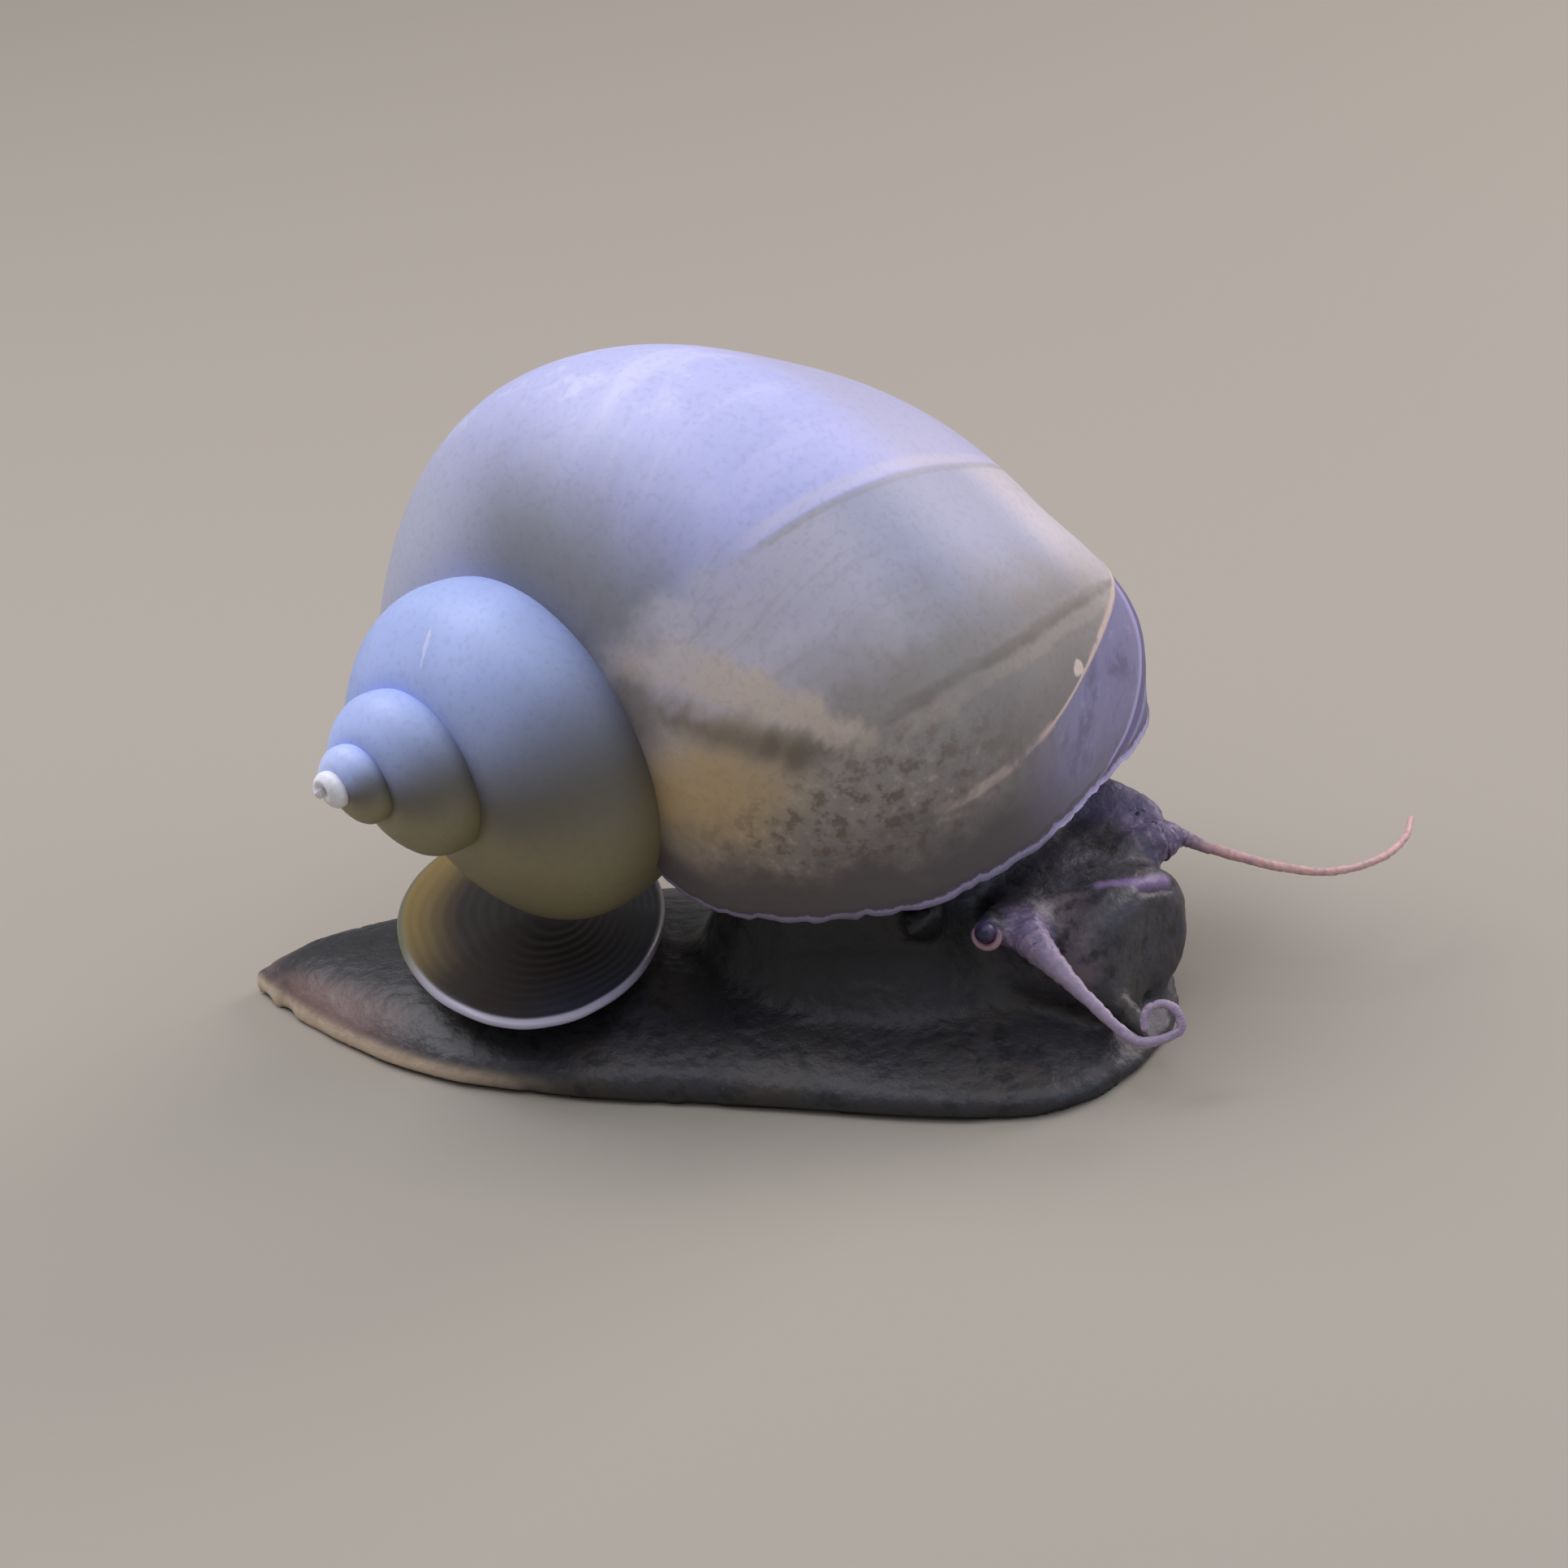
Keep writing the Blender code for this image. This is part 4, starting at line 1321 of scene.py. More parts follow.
# %% All the marks of a corner
# A mark fades in between two places in millimetres: X from the tip of the tail, Y to the left, Z
# from the ground, or a distance from something.
NEAR_SIDE_Y = (1.0, -1.5)
TAIL_SIDE_X = (14, 6)
TAIL_SIDE_SHARE = (0.62, 0.15)
TAIL_END_X = (2.5, 0.6)
THIN_TAIL_Z = (3.4, 2.2)
TAIL_TOP_X = (13, 8)
TAIL_TOP_Z = (1.8, 3.0)
MARGIN_FROM_EDGE = (0.75, 0.2)
MARGIN_X = (22, 12)
MARGIN_Z = (1.6, 0.8)
HEAD_X = (41.5, 43.5)
HEAD_Z = (3.5, 5.0)
NECK_FRONT_X = (42.5, 40.5)
NECK_BACK_X = (24, 28)
NECK_Z = (1.8, 3.8)
FEELER_AWAY = (1.9, 1.1)
FEELER_RUN = (1.0, 3.6)
RIM_AWAY = (0.40, 0.22)
RIM_Z = (9.0, 7.9)
BY_EYE = (1.3, 0.6)
FAR_FLESH_AWAY = (2.4, 1.0)
FAR_FLESH_Y = (3.5, 6.0)
STRIP_AWAY = (0.6, 0.1)
CHEEK_AWAY = (2.0, 0.4)


def skin_marks(spot):
    """Everything that the painter needs to know about one corner of the skin, by name."""
    x, y, z = spot
    edge = foot_edge_distance(spot)
    beside = edge / max(foot_half_width(spot), 1.0)
    tail_side = between(*TAIL_SIDE_X, x) * between(*NEAR_SIDE_Y, y)
    tail_side *= between(*TAIL_SIDE_SHARE, beside)
    thin_tail = max(tail_side, 0.7 * between(*TAIL_END_X, x)) * between(*THIN_TAIL_Z, z)
    tail_top = 0.8 * between(*TAIL_TOP_X, x) * between(*TAIL_TOP_Z, z)
    # Painted shade: the neck lies in shadow under the shell. The mark also takes in the darker top of
    # the tail.
    neck = between(*NECK_Z, z) * between(*NECK_FRONT_X, x) * between(*NECK_BACK_X, x)
    _, index, away = FEELER_TREE.find(spot)
    start, way, run = FEELER_RUNS[index]
    far_flesh = between(*FAR_FLESH_AWAY, segment_distance(spot, FAR_FLESH))
    return {
        "margin": between(*MARGIN_FROM_EDGE, edge) * between(*MARGIN_X, x) * between(*MARGIN_Z, z),
        "thin_tail": thin_tail,
        "head": between(*HEAD_X, x) * between(*HEAD_Z, z),
        "neck": max(neck, tail_top),
        "feeler": between(*FEELER_AWAY, away) * between(*FEELER_RUN, run),
        "feeler_mm": run + (spot - start).dot(way),
        "far": 1.0 if index >= RIGHT_STEPS else 0.0,
        "edge_mm": MANTLE_TREE.find(spot)[2],
        "cup": between(*RIM_AWAY, RIM_TREE.find(spot)[2]) * between(*RIM_Z, z),
        "by_eye": between(*BY_EYE, (spot - NEAR_EYE).length),
        "far_flesh": far_flesh * between(*FAR_FLESH_Y, y),
        "lip_strip": between(*STRIP_AWAY, segment_distance(spot, HEAD_STRIP)),
        "cheek": between(*CHEEK_AWAY, segment_distance(spot, CHEEK)),
    }


found = [skin_marks(vert.co / MM + MIDDLE) for vert in skin.data.vertices]
for name in found[0]:
    layer = skin.data.attributes.new(name, "FLOAT", "POINT")
    layer.data.foreach_set("value", [marks[name] for marks in found])
    print(name, "on", sum(marks[name] > 0.5 for marks in found), "corners")

# %% [markdown]
# ## Eyes
# The eyes are small dark balls, set in their rims and looking out and up. A sphere is made with
# its poles above and below, but the lens faces the way the eye looks. So each corner keeps how far
# forward it lies, and the material paints the lens by that.

# %% Eyes
BALL_RADIUS = {"right": 0.54, "left": 0.50}
BALL_OUT = {"right": -0.25, "left": 0.15}
BALL_PLACES = 48


def add_eye(side):
    """An eyeball in place of the solid one, with how far forward each corner lies, from -1 to 1."""
    radius, way = BALL_RADIUS[side], eye_way(side)
    middle = eye_middle(side) + way * BALL_OUT[side]
    bm = ball(middle, radius, BALL_PLACES)
    forward = bm.verts.layers.float.new("forward")
    for vert in bm.verts:
        vert[forward] = (vert.co / MM + MIDDLE - middle).dot(way) / radius
    return add_piece("eyeball_" + side, bm)


eyes = [add_eye(side) for side in EYE_STALKS]
print("eyeballs:", [piece.name for piece in eyes])

# %% [markdown]
# ## Colours, nodes and coats
# Colours are written as they look on a screen and turned into the linear values that light works
# with. A material is a tree of nodes, and one helper adds any node with its settings and links.
# The painting is then done in coats, as a model maker would do it. A coat is a colour, how
# strongly it is laid, and the places where it goes. A place is a value from 0 to 1 at each spot,
# or any value with the two numbers between which the coat fades in. Drawing the same tree by hand
# would take hundreds of nodes, and the order of the coats could not be read from it.


# %% Colours
def colour(hex_code):
    """A screen colour such as "A0A8C8" as linear red, green, blue and alpha."""
    values = [int(hex_code[i : i + 2], 16) / 255 for i in (0, 2, 4)]
    return [((v + 0.055) / 1.055) ** 2.4 if v > 0.04045 else v / 12.92 for v in values] + [1.0]


print("a middle grey in light:", round(colour("808080")[0], 3))


# %% Materials and nodes
def new_material(name):
    """A material with its tree of nodes and the shader in it that makes its surface."""
    material = bpy.data.materials.new(name)
    material.use_nodes = True
    tree = material.node_tree
    return material, tree, tree.nodes["Principled BSDF"]


def plug_in(tree, node, plugs):
    """Gives each input, by its name or number, a value or the output of another node."""
    for key, value in plugs.items():
        if isinstance(value, bpy.types.NodeSocket):
            tree.links.new(value, node.inputs[key])
        else:
            node.inputs[key].default_value = value


def add(tree, kind, plugs=None, out=0, **settings):
    """Adds a node with its settings and what is plugged into it, and gives one of its outputs."""
    node = tree.nodes.new("ShaderNode" + kind)
    for name, value in settings.items():
        setattr(node, name, value)
    plug_in(tree, node, plugs or {})
    return node.outputs[out]


print("materials so far:", len(bpy.data.materials))

# %% Coats
SOFT = {"interpolation_type": "SMOOTHSTEP"}


def coats(tree, base, *layers):
    """Lays coats over a base colour. Each is (colour, strength, place, place ...), and covers
    only what all of its places share."""
    for over, strength, *places in layers:
        share = strength
        for place in places:
            if isinstance(place, tuple):
                value, low, high = place
                fading = {"Value": value, "From Min": low, "From Max": high}
                place = add(tree, "MapRange", fading, **SOFT)
            share = add(tree, "Math", {0: share, 1: place}, operation="MULTIPLY")
        base = add(tree, "Mix", {0: share, 6: base, 7: over}, out=2, data_type="RGBA")
    return base


def outside(place):
    """The same place the other way round: where the coat went, it doesn't go."""
    value, low, high = place
    return value, high, low


print("outside of a place from 0 to 1:", outside(("value", 0, 1)))

# %% [markdown]
# ## Living shell
# Shell is chalk under a thin horny skin, laid down line by line at the lip, which gives a satin
# gloss. The wall is blue where it is old and thick, and brown and violet where it is thin and new.
# Its colour varies along the lines of growth only, so the paint follows the angle behind the lip,
# with clouds of noise in four sizes to break it up. Noise is also what roughens every edge.

# %% Growth lines and clouds
# The growth map runs from 0 to 1 over all rings, and once round the whorl. A line of growth is
# given by its distance from the next one near the lip, and by how far it runs before it breaks
# off. Both are in millimetres, and so are the sizes of the clouds.
FINE_LINE = (0.423, 8.5)
BROAD_LINE = (1.27, 15.4)
ROUND_WHORL = 77.0
WARP = (0.012, 0.03, 0.0)
WARP_CLOUDS = {"Scale": 1 / (7 * MM), "Detail": 2.0, "Roughness": 0.5}
CLOUDS = (
    {"Scale": 1 / (9 * MM), "Detail": 3.0, "Roughness": 0.55},
    {"Scale": 1 / (3 * MM), "Detail": 3.0, "Roughness": 0.6},
    {"Scale": 1 / (0.95 * MM), "Detail": 4.0, "Roughness": 0.65},
    {"Scale": 1 / (0.4 * MM), "Detail": 2.0, "Roughness": 0.55},
)


def lines_in_map(apart, length):
    """How many such lines fit into the growth map, each way."""
    all_rings = RING_STEP * (len(SHELL_RINGS) - 1)
    return round(all_rings / apart), round(ROUND_WHORL / length), 1


shell_look, tree, surface = new_material("shell, satin over blue and grey growth")
at = {name: add(tree, "Attribute", out="Fac", attribute_name=name) for name in shell_marks(0, 0)}
behind_lip, side = at["behind_lip"], at["side"]
growth = add(tree, "UVMap", uv_map="growth")
space = add(tree, "TexCoord", out="Object")
warp = add(tree, "TexNoise", {"Vector": space, **WARP_CLOUDS}, out="Color")
warp = add(tree, "VectorMath", {0: warp, 1: (0.5, 0.5, 0.5)}, operation="SUBTRACT")
warp = add(tree, "VectorMath", {0: warp, 1: WARP}, operation="MULTIPLY")
growth = add(tree, "VectorMath", {0: growth, 1: warp}, operation="ADD")
fine_growth = add(tree, "Mapping", {"Vector": growth, "Scale": lines_in_map(*FINE_LINE)})
broad_growth = add(tree, "Mapping", {"Vector": growth, "Scale": lines_in_map(*BROAD_LINE)})
fine = {"Vector": fine_growth, "Scale": 1.0, "Detail": 3.0, "Roughness": 0.6}
broad = {"Vector": broad_growth, "Scale": 1.0, "Detail": 2.0, "Roughness": 0.55}
lines, broad_lines = add(tree, "TexNoise", fine), add(tree, "TexNoise", broad)
clouds = [add(tree, "TexNoise", {"Vector": space, **made}) for made in CLOUDS]
soft, patches, blotches, pores = clouds
print("lines in the growth map:", lines_in_map(*FINE_LINE)[0], lines_in_map(*BROAD_LINE)[0])

# %% [markdown]
# ## The old, blue shell
# The oldest shell is the bluest. It is paler on top, with worn whitish streaks and clouds of painted
# highlight, and greyer on the shoulder that runs down to the suture. Below, the small whorls carry
# painted shade in slate and olive, and lowest a pale olive of painted light reflected from the
# ground.

# %% The old, blue shell
BLUE_GROWTH = colour("B0B4E4")
BLUE_LINE = colour("9FA4D2")
PALE_BLUE = colour("BDBFE7")
WORN_WHITE_AND_HIGHLIGHT = colour("D4D4F2")
RIDGE_GREY = colour("B4B0C8")
SHOULDER_GREY = colour("7C7D80")
FLANK_GREY = colour("B4B6C6")
SPIRE_BLUE = colour("A2B3E4")
PALE_SPIRE = colour("B8C8FB")
SHADE_SLATE = colour("7E869E")
SHADE_OLIVE = colour("605B4B")
REFLECTED_OLIVE = colour("938A68")

streaks = {"Value": broad_lines, "From Min": 0.5, "From Max": 0.68}
streaks = add(tree, "MapRange", streaks, **SOFT)
cloudy = {"Value": patches, "From Min": 0.5, "From Max": 0.64}
cloudy = add(tree, "MapRange", cloudy, **SOFT)
streaks_and_highlight = add(tree, "Math", {0: streaks, 1: cloudy}, operation="MAXIMUM")
spire = coats(
    tree,
    SPIRE_BLUE,
    (PALE_SPIRE, 0.5, (soft, 0.42, 0.66)),
    (PALE_SPIRE, 1.0, (behind_lip, 760.0, 940.0)),
)
blue = coats(
    tree,
    BLUE_GROWTH,
    (BLUE_LINE, 0.35, (lines, 0.45, 0.75)),
    (BLUE_LINE, 0.35, (soft, 0.55, 0.3)),
    # Painted highlight: the top of the whorl is made paler.
    (PALE_BLUE, 0.85, at["top"]),
    # Worn whitish streaks, and clouds of painted highlight on the top.
    (WORN_WHITE_AND_HIGHLIGHT, 0.6, streaks_and_highlight, at["top"]),
    (RIDGE_GREY, 0.8, (side, -12.0, -36.0), (behind_lip, 230.0, 170.0)),
    (SHOULDER_GREY, 0.9, at["shoulder"]),
    (FLANK_GREY, 0.8, (behind_lip, 115.0, 165.0), (side, 8.0, 44.0)),
    (spire, 1.0, (behind_lip, 215.0, 260.0)),
    # Painted shade and painted reflected ground light below the small whorls.
    (SHADE_SLATE, 0.85, at["slate"]),
    (SHADE_OLIVE, 0.9, at["olive"]),
    (REFLECTED_OLIVE, 0.85, at["pale_olive"]),
)
print("nodes after the blue shell:", len(tree.nodes))

# %% [markdown]
# ## The grey shell
# Between the rests the shell is grey, and warmer and darker towards the lip. There it is thin and
# the body shows through, and the darkening is also painted shade on the low side of the last whorl,
# which faces the ground. Low on the whorl lie the yellow patch, the slanting band with its painted
# shadow, and brown and pale spots. Along the crest lies a painted highlight.

# %% The grey shell
GREY_GROWTH = colour("C1BDCA")
BLUE_GREY = colour("A3A2B8")
RIGHT_GREY = colour("9095B2")
WARM_GREY = colour("968F88")
LOW_GREY = colour("817976")
LIP_BROWN = colour("565052")
YELLOW = colour("BAA178")
SHADOW_AND_REST_BROWN = colour("6B6152")
PALE_BAND = colour("CBBCAD")
SPOT_BROWN = colour("6C5C52")
CREAM = colour("D8CCCA")
UNEVEN = 16.0

uneven = add(tree, "Math", {0: patches, 1: UNEVEN, 2: -0.5 * UNEVEN}, operation="MULTIPLY_ADD")
age = add(tree, "Math", {0: behind_lip, 1: uneven}, operation="ADD")
grey = coats(
    tree,
    GREY_GROWTH,
    (BLUE_GREY, 0.45, (soft, 0.42, 0.62)),
    (WARM_GREY, 0.2, (lines, 0.5, 0.72)),
    (RIGHT_GREY, 0.75, (side, 10.0, -8.0), (side, -62.0, -40.0)),
    # Partly painted shade: towards the lip this coat darkens and warms the low side of the last
    # whorl, which faces the ground, where the thin wall also shows the body.
    (WARM_GREY, 0.9, (age, 50.0, 33.0)),
    (YELLOW, 0.95, at["yellow"]),
    # Painted shadow below the slanting band, and painted shade in the suture.
    (SHADOW_AND_REST_BROWN, 0.9, at["shadow"]),
    (PALE_BAND, 0.85, at["band"], (patches, 0.22, 0.48)),
    # Partly painted shade, low on the last whorl towards the lip.
    (LOW_GREY, 0.65, (age, 31.0, 17.0)),
    (SPOT_BROWN, 0.85, at["mottle"], (blotches, 0.48, 0.62)),
    (PALE_BAND, 0.5, at["mottle"], (blotches, 0.45, 0.3)),
    # Partly painted shade at the lip, low on the last whorl.
    (LIP_BROWN, 0.92, (age, 20.0, 6.0)),
    # Painted highlight along the crest of the whorl.
    (CREAM, 0.5, (side, -44.0, -64.0), (behind_lip, 24.0, 40.0)),
)
print("nodes after the grey shell:", len(tree.nodes))

# %% [markdown]
# ## Where blue meets grey
# On the outside of the whorl the two meet in a clean line, pale above and brown below. Towards
# the suture the line dissolves. The older of the two rests near the lip is a wavy brown line.

# %% Where blue meets grey
SEAM_BROWN = colour("8E8880")


def line_at(distance, middle, half_width):
    """A thin line, as a place for a coat, where distance comes near middle."""
    off = add(tree, "Math", {0: distance, 1: middle}, operation="SUBTRACT")
    off = add(tree, "Math", {0: off}, operation="ABSOLUTE")
    return off, half_width, 0.3 * half_width


blue_rest = at["blue_rest"]
sharp = {"Value": blue_rest, "From Min": -1.3, "From Max": 0.6}
sharp = add(tree, "MapRange", sharp, **SOFT)
rough_rest = add(tree, "Math", {0: blue_rest, 1: uneven}, operation="ADD")
dissolved = {"Value": rough_rest, "From Min": -8.0, "From Max": 7.0}
dissolved = add(tree, "MapRange", dissolved, **SOFT)
to_suture = {"Value": side, "From Min": 16.0, "From Max": 42.0}
to_suture = add(tree, "MapRange", to_suture, **SOFT)
meeting = add(tree, "Mix", {0: to_suture, 2: sharp, 3: dissolved})
clear_side = (side, 36.0, 16.0)
wavy_rest = add(tree, "Math", {0: uneven, 1: 0.22, 2: at["older_rest"]}, operation="MULTIPLY_ADD")
broken = {"Value": patches, "From Min": 0.25, "From Max": 0.6, "To Min": 0.5}
broken = add(tree, "MapRange", broken, **SOFT)
older_side = (side, 24.0, 8.0)
base = coats(
    tree,
    grey,
    (blue, 1.0, meeting),
    (SEAM_BROWN, 0.36, line_at(blue_rest, -0.7, 1.0), clear_side),
    (CREAM, 0.28, line_at(blue_rest, 1.4, 1.6), clear_side),
    (SHADOW_AND_REST_BROWN, 0.45, line_at(wavy_rest, 0.0, 1.5), older_side, broken),
    (PALE_BAND, 0.25, line_at(wavy_rest, -2.2, 1.8), older_side, broken),
)
print("nodes after the meeting:", len(tree.nodes))

# %% [markdown]
# ## The newest shell
# Beyond the last rest the wall is so thin that the mantle's violet shows through it on the right,
# and it darkens to violet-grey on the far side. Two lilac lines run along it; the one where the dark
# violet edge begins is a painted highlight on the lip's thin edge. The last rest itself is a cream
# line, broken at one spot by a small irregular deposit of chalk.

# %% The newest shell
VIOLET = colour("8A85AC")
VIOLET_SPOT = colour("5E5A78")
PALE_VIOLET = colour("A39FBC")
EDGE_VIOLET = colour("655E90")
LILAC = colour("B4AADA")
LIP_GREY = colour("66626A")
PALE_REST = colour("E4CBC0")
DEPOSIT = colour("EFDCD3")


def rough_oval(middle, half_sizes):
    """A small patch with a rough edge, as a place, by its degrees behind the lip and round."""
    spot = add(tree, "CombineXYZ", {0: behind_lip, 1: side})
    away = add(tree, "VectorMath", {0: spot, 1: (*middle, 0)}, operation="SUBTRACT")
    away = add(tree, "VectorMath", {0: away, 1: (*half_sizes, 1)}, operation="DIVIDE")
    far = add(tree, "VectorMath", {0: away, 1: away}, out="Value", operation="DOT_PRODUCT")
    far = add(tree, "Math", {0: blotches, 1: 4.0, 2: far}, operation="MULTIPLY_ADD")
    return far, 3.6, 2.5


last_rest, lip_line = at["last_rest"], at["lip_line"]
newest = (last_rest, 0.3, -0.3)
violet = coats(
    tree,
    VIOLET,
    (VIOLET_SPOT, 0.6, (patches, 0.5, 0.66)),
    (PALE_VIOLET, 0.6, (blotches, 0.56, 0.72)),
    (LIP_GREY, 0.6, (age, 12.0, 3.0)),
)
far_side = coats(tree, LIP_GREY, (VIOLET_SPOT, 1.0, (patches, 0.4, 0.6)))
narrower = {"Value": side, "From Min": -50.0, "From Max": -30.0, "To Min": 1.0, "To Max": 2.2}
narrower = add(tree, "MapRange", narrower, **SOFT)
fine_rest = add(tree, "Math", {0: last_rest, 1: narrower}, operation="MULTIPLY")
gap = rough_oval((27.5, -45.5), (1.6, 1.5))
base = coats(
    tree,
    base,
    (violet, 1.0, newest, (side, -4.0, -34.0)),
    (EDGE_VIOLET, 1.0, newest, (lip_line, 0.0, -1.6)),
    (LILAC, 0.5, newest, line_at(lip_line, -12.0, 4.0)),
    (far_side, 0.85, newest, (lip_line, -16.0, -36.0)),
    # Painted highlight on the lip's thin edge, where the dark violet edge begins.
    (LILAC, 0.9, newest, line_at(lip_line, 0.0, 2.4)),
    (PALE_REST, 0.95, line_at(fine_rest, 0.0, 1.3), (side, -6.0, -28.0), outside(gap)),
    (PALE_REST, 0.4, line_at(last_rest, 0.0, 1.3), (patches, 0.42, 0.6), (side, 25.0, 0.0)),
    (DEPOSIT, 0.8, rough_oval((23.6, -34.5), (1.2, 1.9))),
)
print("nodes after the newest shell:", len(tree.nodes))

# %% [markdown]
# ## Apex, mouth and growing edge
# The oldest whorls at the apex are worn to bare chalk, and one scratch on the spire is pale. The
# wall is dark inside the mouth. The growing edge is a thin, bright, broken line with a shadow
# behind it. Pores, too fine to see one by one, take the plastic look away.

# %% Apex, mouth and growing edge
CHALK = colour("F4F4FA")
NACRE = colour("3A3236")
LIP_WHITE = colour("ACA4CC")
LIP_SHADOW = colour("4E4854")
PORE = colour("4C4A54")
SCRATCH = ((468.0, 52.0), (1.1, 15.0))

torn = add(tree, "Math", {0: blotches, 1: 2.6, 2: behind_lip}, operation="MULTIPLY_ADD")
bright = {"Value": patches, "From Min": 0.2, "From Max": 0.6, "To Min": 0.45}
bright = add(tree, "MapRange", bright, **SOFT)
dimmer = {"Value": side, "From Min": 5.0, "From Max": 40.0, "To Min": 1.0, "To Max": 0.55}
dimmer = add(tree, "MapRange", dimmer, **SOFT)
base = coats(
    tree,
    base,
    (WORN_WHITE_AND_HIGHLIGHT, 0.7, rough_oval(*SCRATCH)),
    (CHALK, 0.95, (behind_lip, 1150.0, 1400.0)),
    (NACRE, 1.0, at["inside"]),
    (LIP_SHADOW, 0.6, (torn, 4.5, 3.3)),
    (LIP_WHITE, 1.0, (torn, 2.9, 2.3), bright, dimmer),
    (PORE, 0.10, (pores, 0.5, 0.68)),
)
satin = {"Roughness": 0.52, "Coat Weight": 0.08, "Coat Roughness": 0.35}
low_lines = add(tree, "Bump", {"Height": lines, "Strength": 0.08, "Distance": 0.1 * MM})
plug_in(tree, surface, {"Base Color": base, "Normal": low_lines, **satin})
print("shell material:", len(tree.nodes), "nodes")

# %% [markdown]
# ## Horn of the operculum
# Horn is grown in rings, brown and clear. Light gets through it towards the tail, where it looks
# amber, and the other side has a painted navy sheen. The rim is worn, and on the snail's right it
# carries a painted highlight, where its thin edge catches the light. The whole plate is wet, which
# gives it a soft shine.

# %% Horn of the operculum
HORN = colour("271F1E")
HORN_LINE = colour("322825")
AMBER = colour("86713F")
NAVY_SHEEN = colour("22283A")
DARK_RIM = colour("3C3638")
DULL_RIM = colour("66664F")
RIM_HIGHLIGHT = colour("AAA5B6")
HORN_LINES_APART = 0.8875

door_look, tree, surface = new_material("operculum, wet brown horn")
at = {name: add(tree, "Attribute", out="Fac", attribute_name=name) for name in door_marks(0, 0)}
to_rim, to_tail = at["to_rim"], at["to_tail"]
waves = TAU * DOOR_HALF_LENGTH / HORN_LINES_APART
rings = add(tree, "Math", {0: to_rim, 1: waves}, operation="MULTIPLY")
rings = add(tree, "Math", {0: rings}, operation="SINE")
rim = coats(
    tree,
    DARK_RIM,
    (DULL_RIM, 1.0, (to_tail, -0.6, 0.3)),
    # Painted highlight along the rim on the snail's right.
    (RIM_HIGHLIGHT, 1.0, at["near_side"]),
)
horn = coats(
    tree,
    HORN,
    (HORN_LINE, 0.4, (rings, 0.0, 1.0)),
    (AMBER, 0.95, (to_rim, 0.62, 0.99), (to_tail, 0.3, 1.0)),
    # Painted navy sheen on the side away from the tail.
    (NAVY_SHEEN, 0.8, (to_rim, 0.45, 0.98), (to_tail, 0.0, -0.8)),
    (rim, 1.0, (to_rim, 0.992, 1.004), (to_rim, 1.056, 1.044)),
)
plug_in(tree, surface, {"Base Color": horn, "Roughness": 0.45, "Coat Weight": 0.15})
print("operculum material:", len(tree.nodes), "nodes")

# %% [markdown]
# ## Wet skin
# The skin is blue-black, with slime over it that adds a faint, softer shine. Fine pale flecks lie
# in the dark colour, and bumps of half a millimetre and of a millimetre cover it. Where the flesh
# is thin it is mauve, and at the foot's edge almost cream.

# %% Wet skin
INK = colour("2F2E34")
BROWN_INK = colour("37322F")
DEEP_INK = colour("1B1A1F")
FLECK = colour("6A6468")
HEAD_GREY = colour("3D3B45")
MAUVE = colour("7E6562")
PALE_EDGE = colour("E2CDB4")
CHEEK_GREY = colour("6E6268")
FAR_PURPLE = colour("5F5674")
SKIN_CLOUDS = (
    {"Scale": 1 / (4 * MM), "Detail": 3.0, "Roughness": 0.55},
    {"Scale": 1 / (0.45 * MM), "Detail": 3.0, "Roughness": 0.6},
    {"Scale": 1 / (1.25 * MM), "Detail": 3.0, "Roughness": 0.6},
)

skin_look, tree, surface = new_material("skin, wet blue-black with pale thin edges")
at = {name: add(tree, "Attribute", out="Fac", attribute_name=name) for name in found[0]}
space = add(tree, "TexCoord", out="Object")
clouds = [add(tree, "TexNoise", {"Vector": space, **made}) for made in SKIN_CLOUDS]
soft, grain, patches = clouds
flesh_colour = coats(
    tree,
    INK,
    (BROWN_INK, 1.0, (soft, 0.42, 0.62)),
    (DEEP_INK, 0.8, (patches, 0.5, 0.36)),
    (FLECK, 0.35, (grain, 0.66, 0.80)),
    (HEAD_GREY, 0.8, at["head"], (patches, 0.35, 0.6)),
    # Painted shade on the neck under the shell; the same coat darkens the top of the tail.
    (DEEP_INK, 0.9, at["neck"]),
    (MAUVE, 0.85, at["thin_tail"], (soft, 0.2, 0.5)),
    (PALE_EDGE, 0.8, at["margin"]),
    (CHEEK_GREY, 0.9, at["cheek"], (patches, 0.3, 0.6)),
    (FAR_PURPLE, 1.0, at["far_flesh"]),
)
print("nodes of the plain skin:", len(tree.nodes))

# %% [markdown]
# ## Feelers, edges and rims
# The feelers are purple at the root and paler to the tip, with pale rings 0.6 mm apart, and the
# far one is pink. The mantle's edge is a thin, ragged, bright line with a shadow behind it. The
# eyes' rims are pink, and one fold on the head is violet.

# %% Feelers, edges and rims
FEELER = colour("665D7E")
FEELER_TIP = colour("9B8DA6")
FEELER_BAND = colour("B094AC")
FAR_FEELER = colour("DCB0A8")
EDGE_SHADOW = colour("4A4560")
LILAC_EDGE = colour("C9BEEA")
STRIP = colour("86709C")
EYE_BLUE = colour("45406A")
CUP = colour("B48F9C")
FAR_CUP = colour("7F759A")
RING_SPACING = 0.62

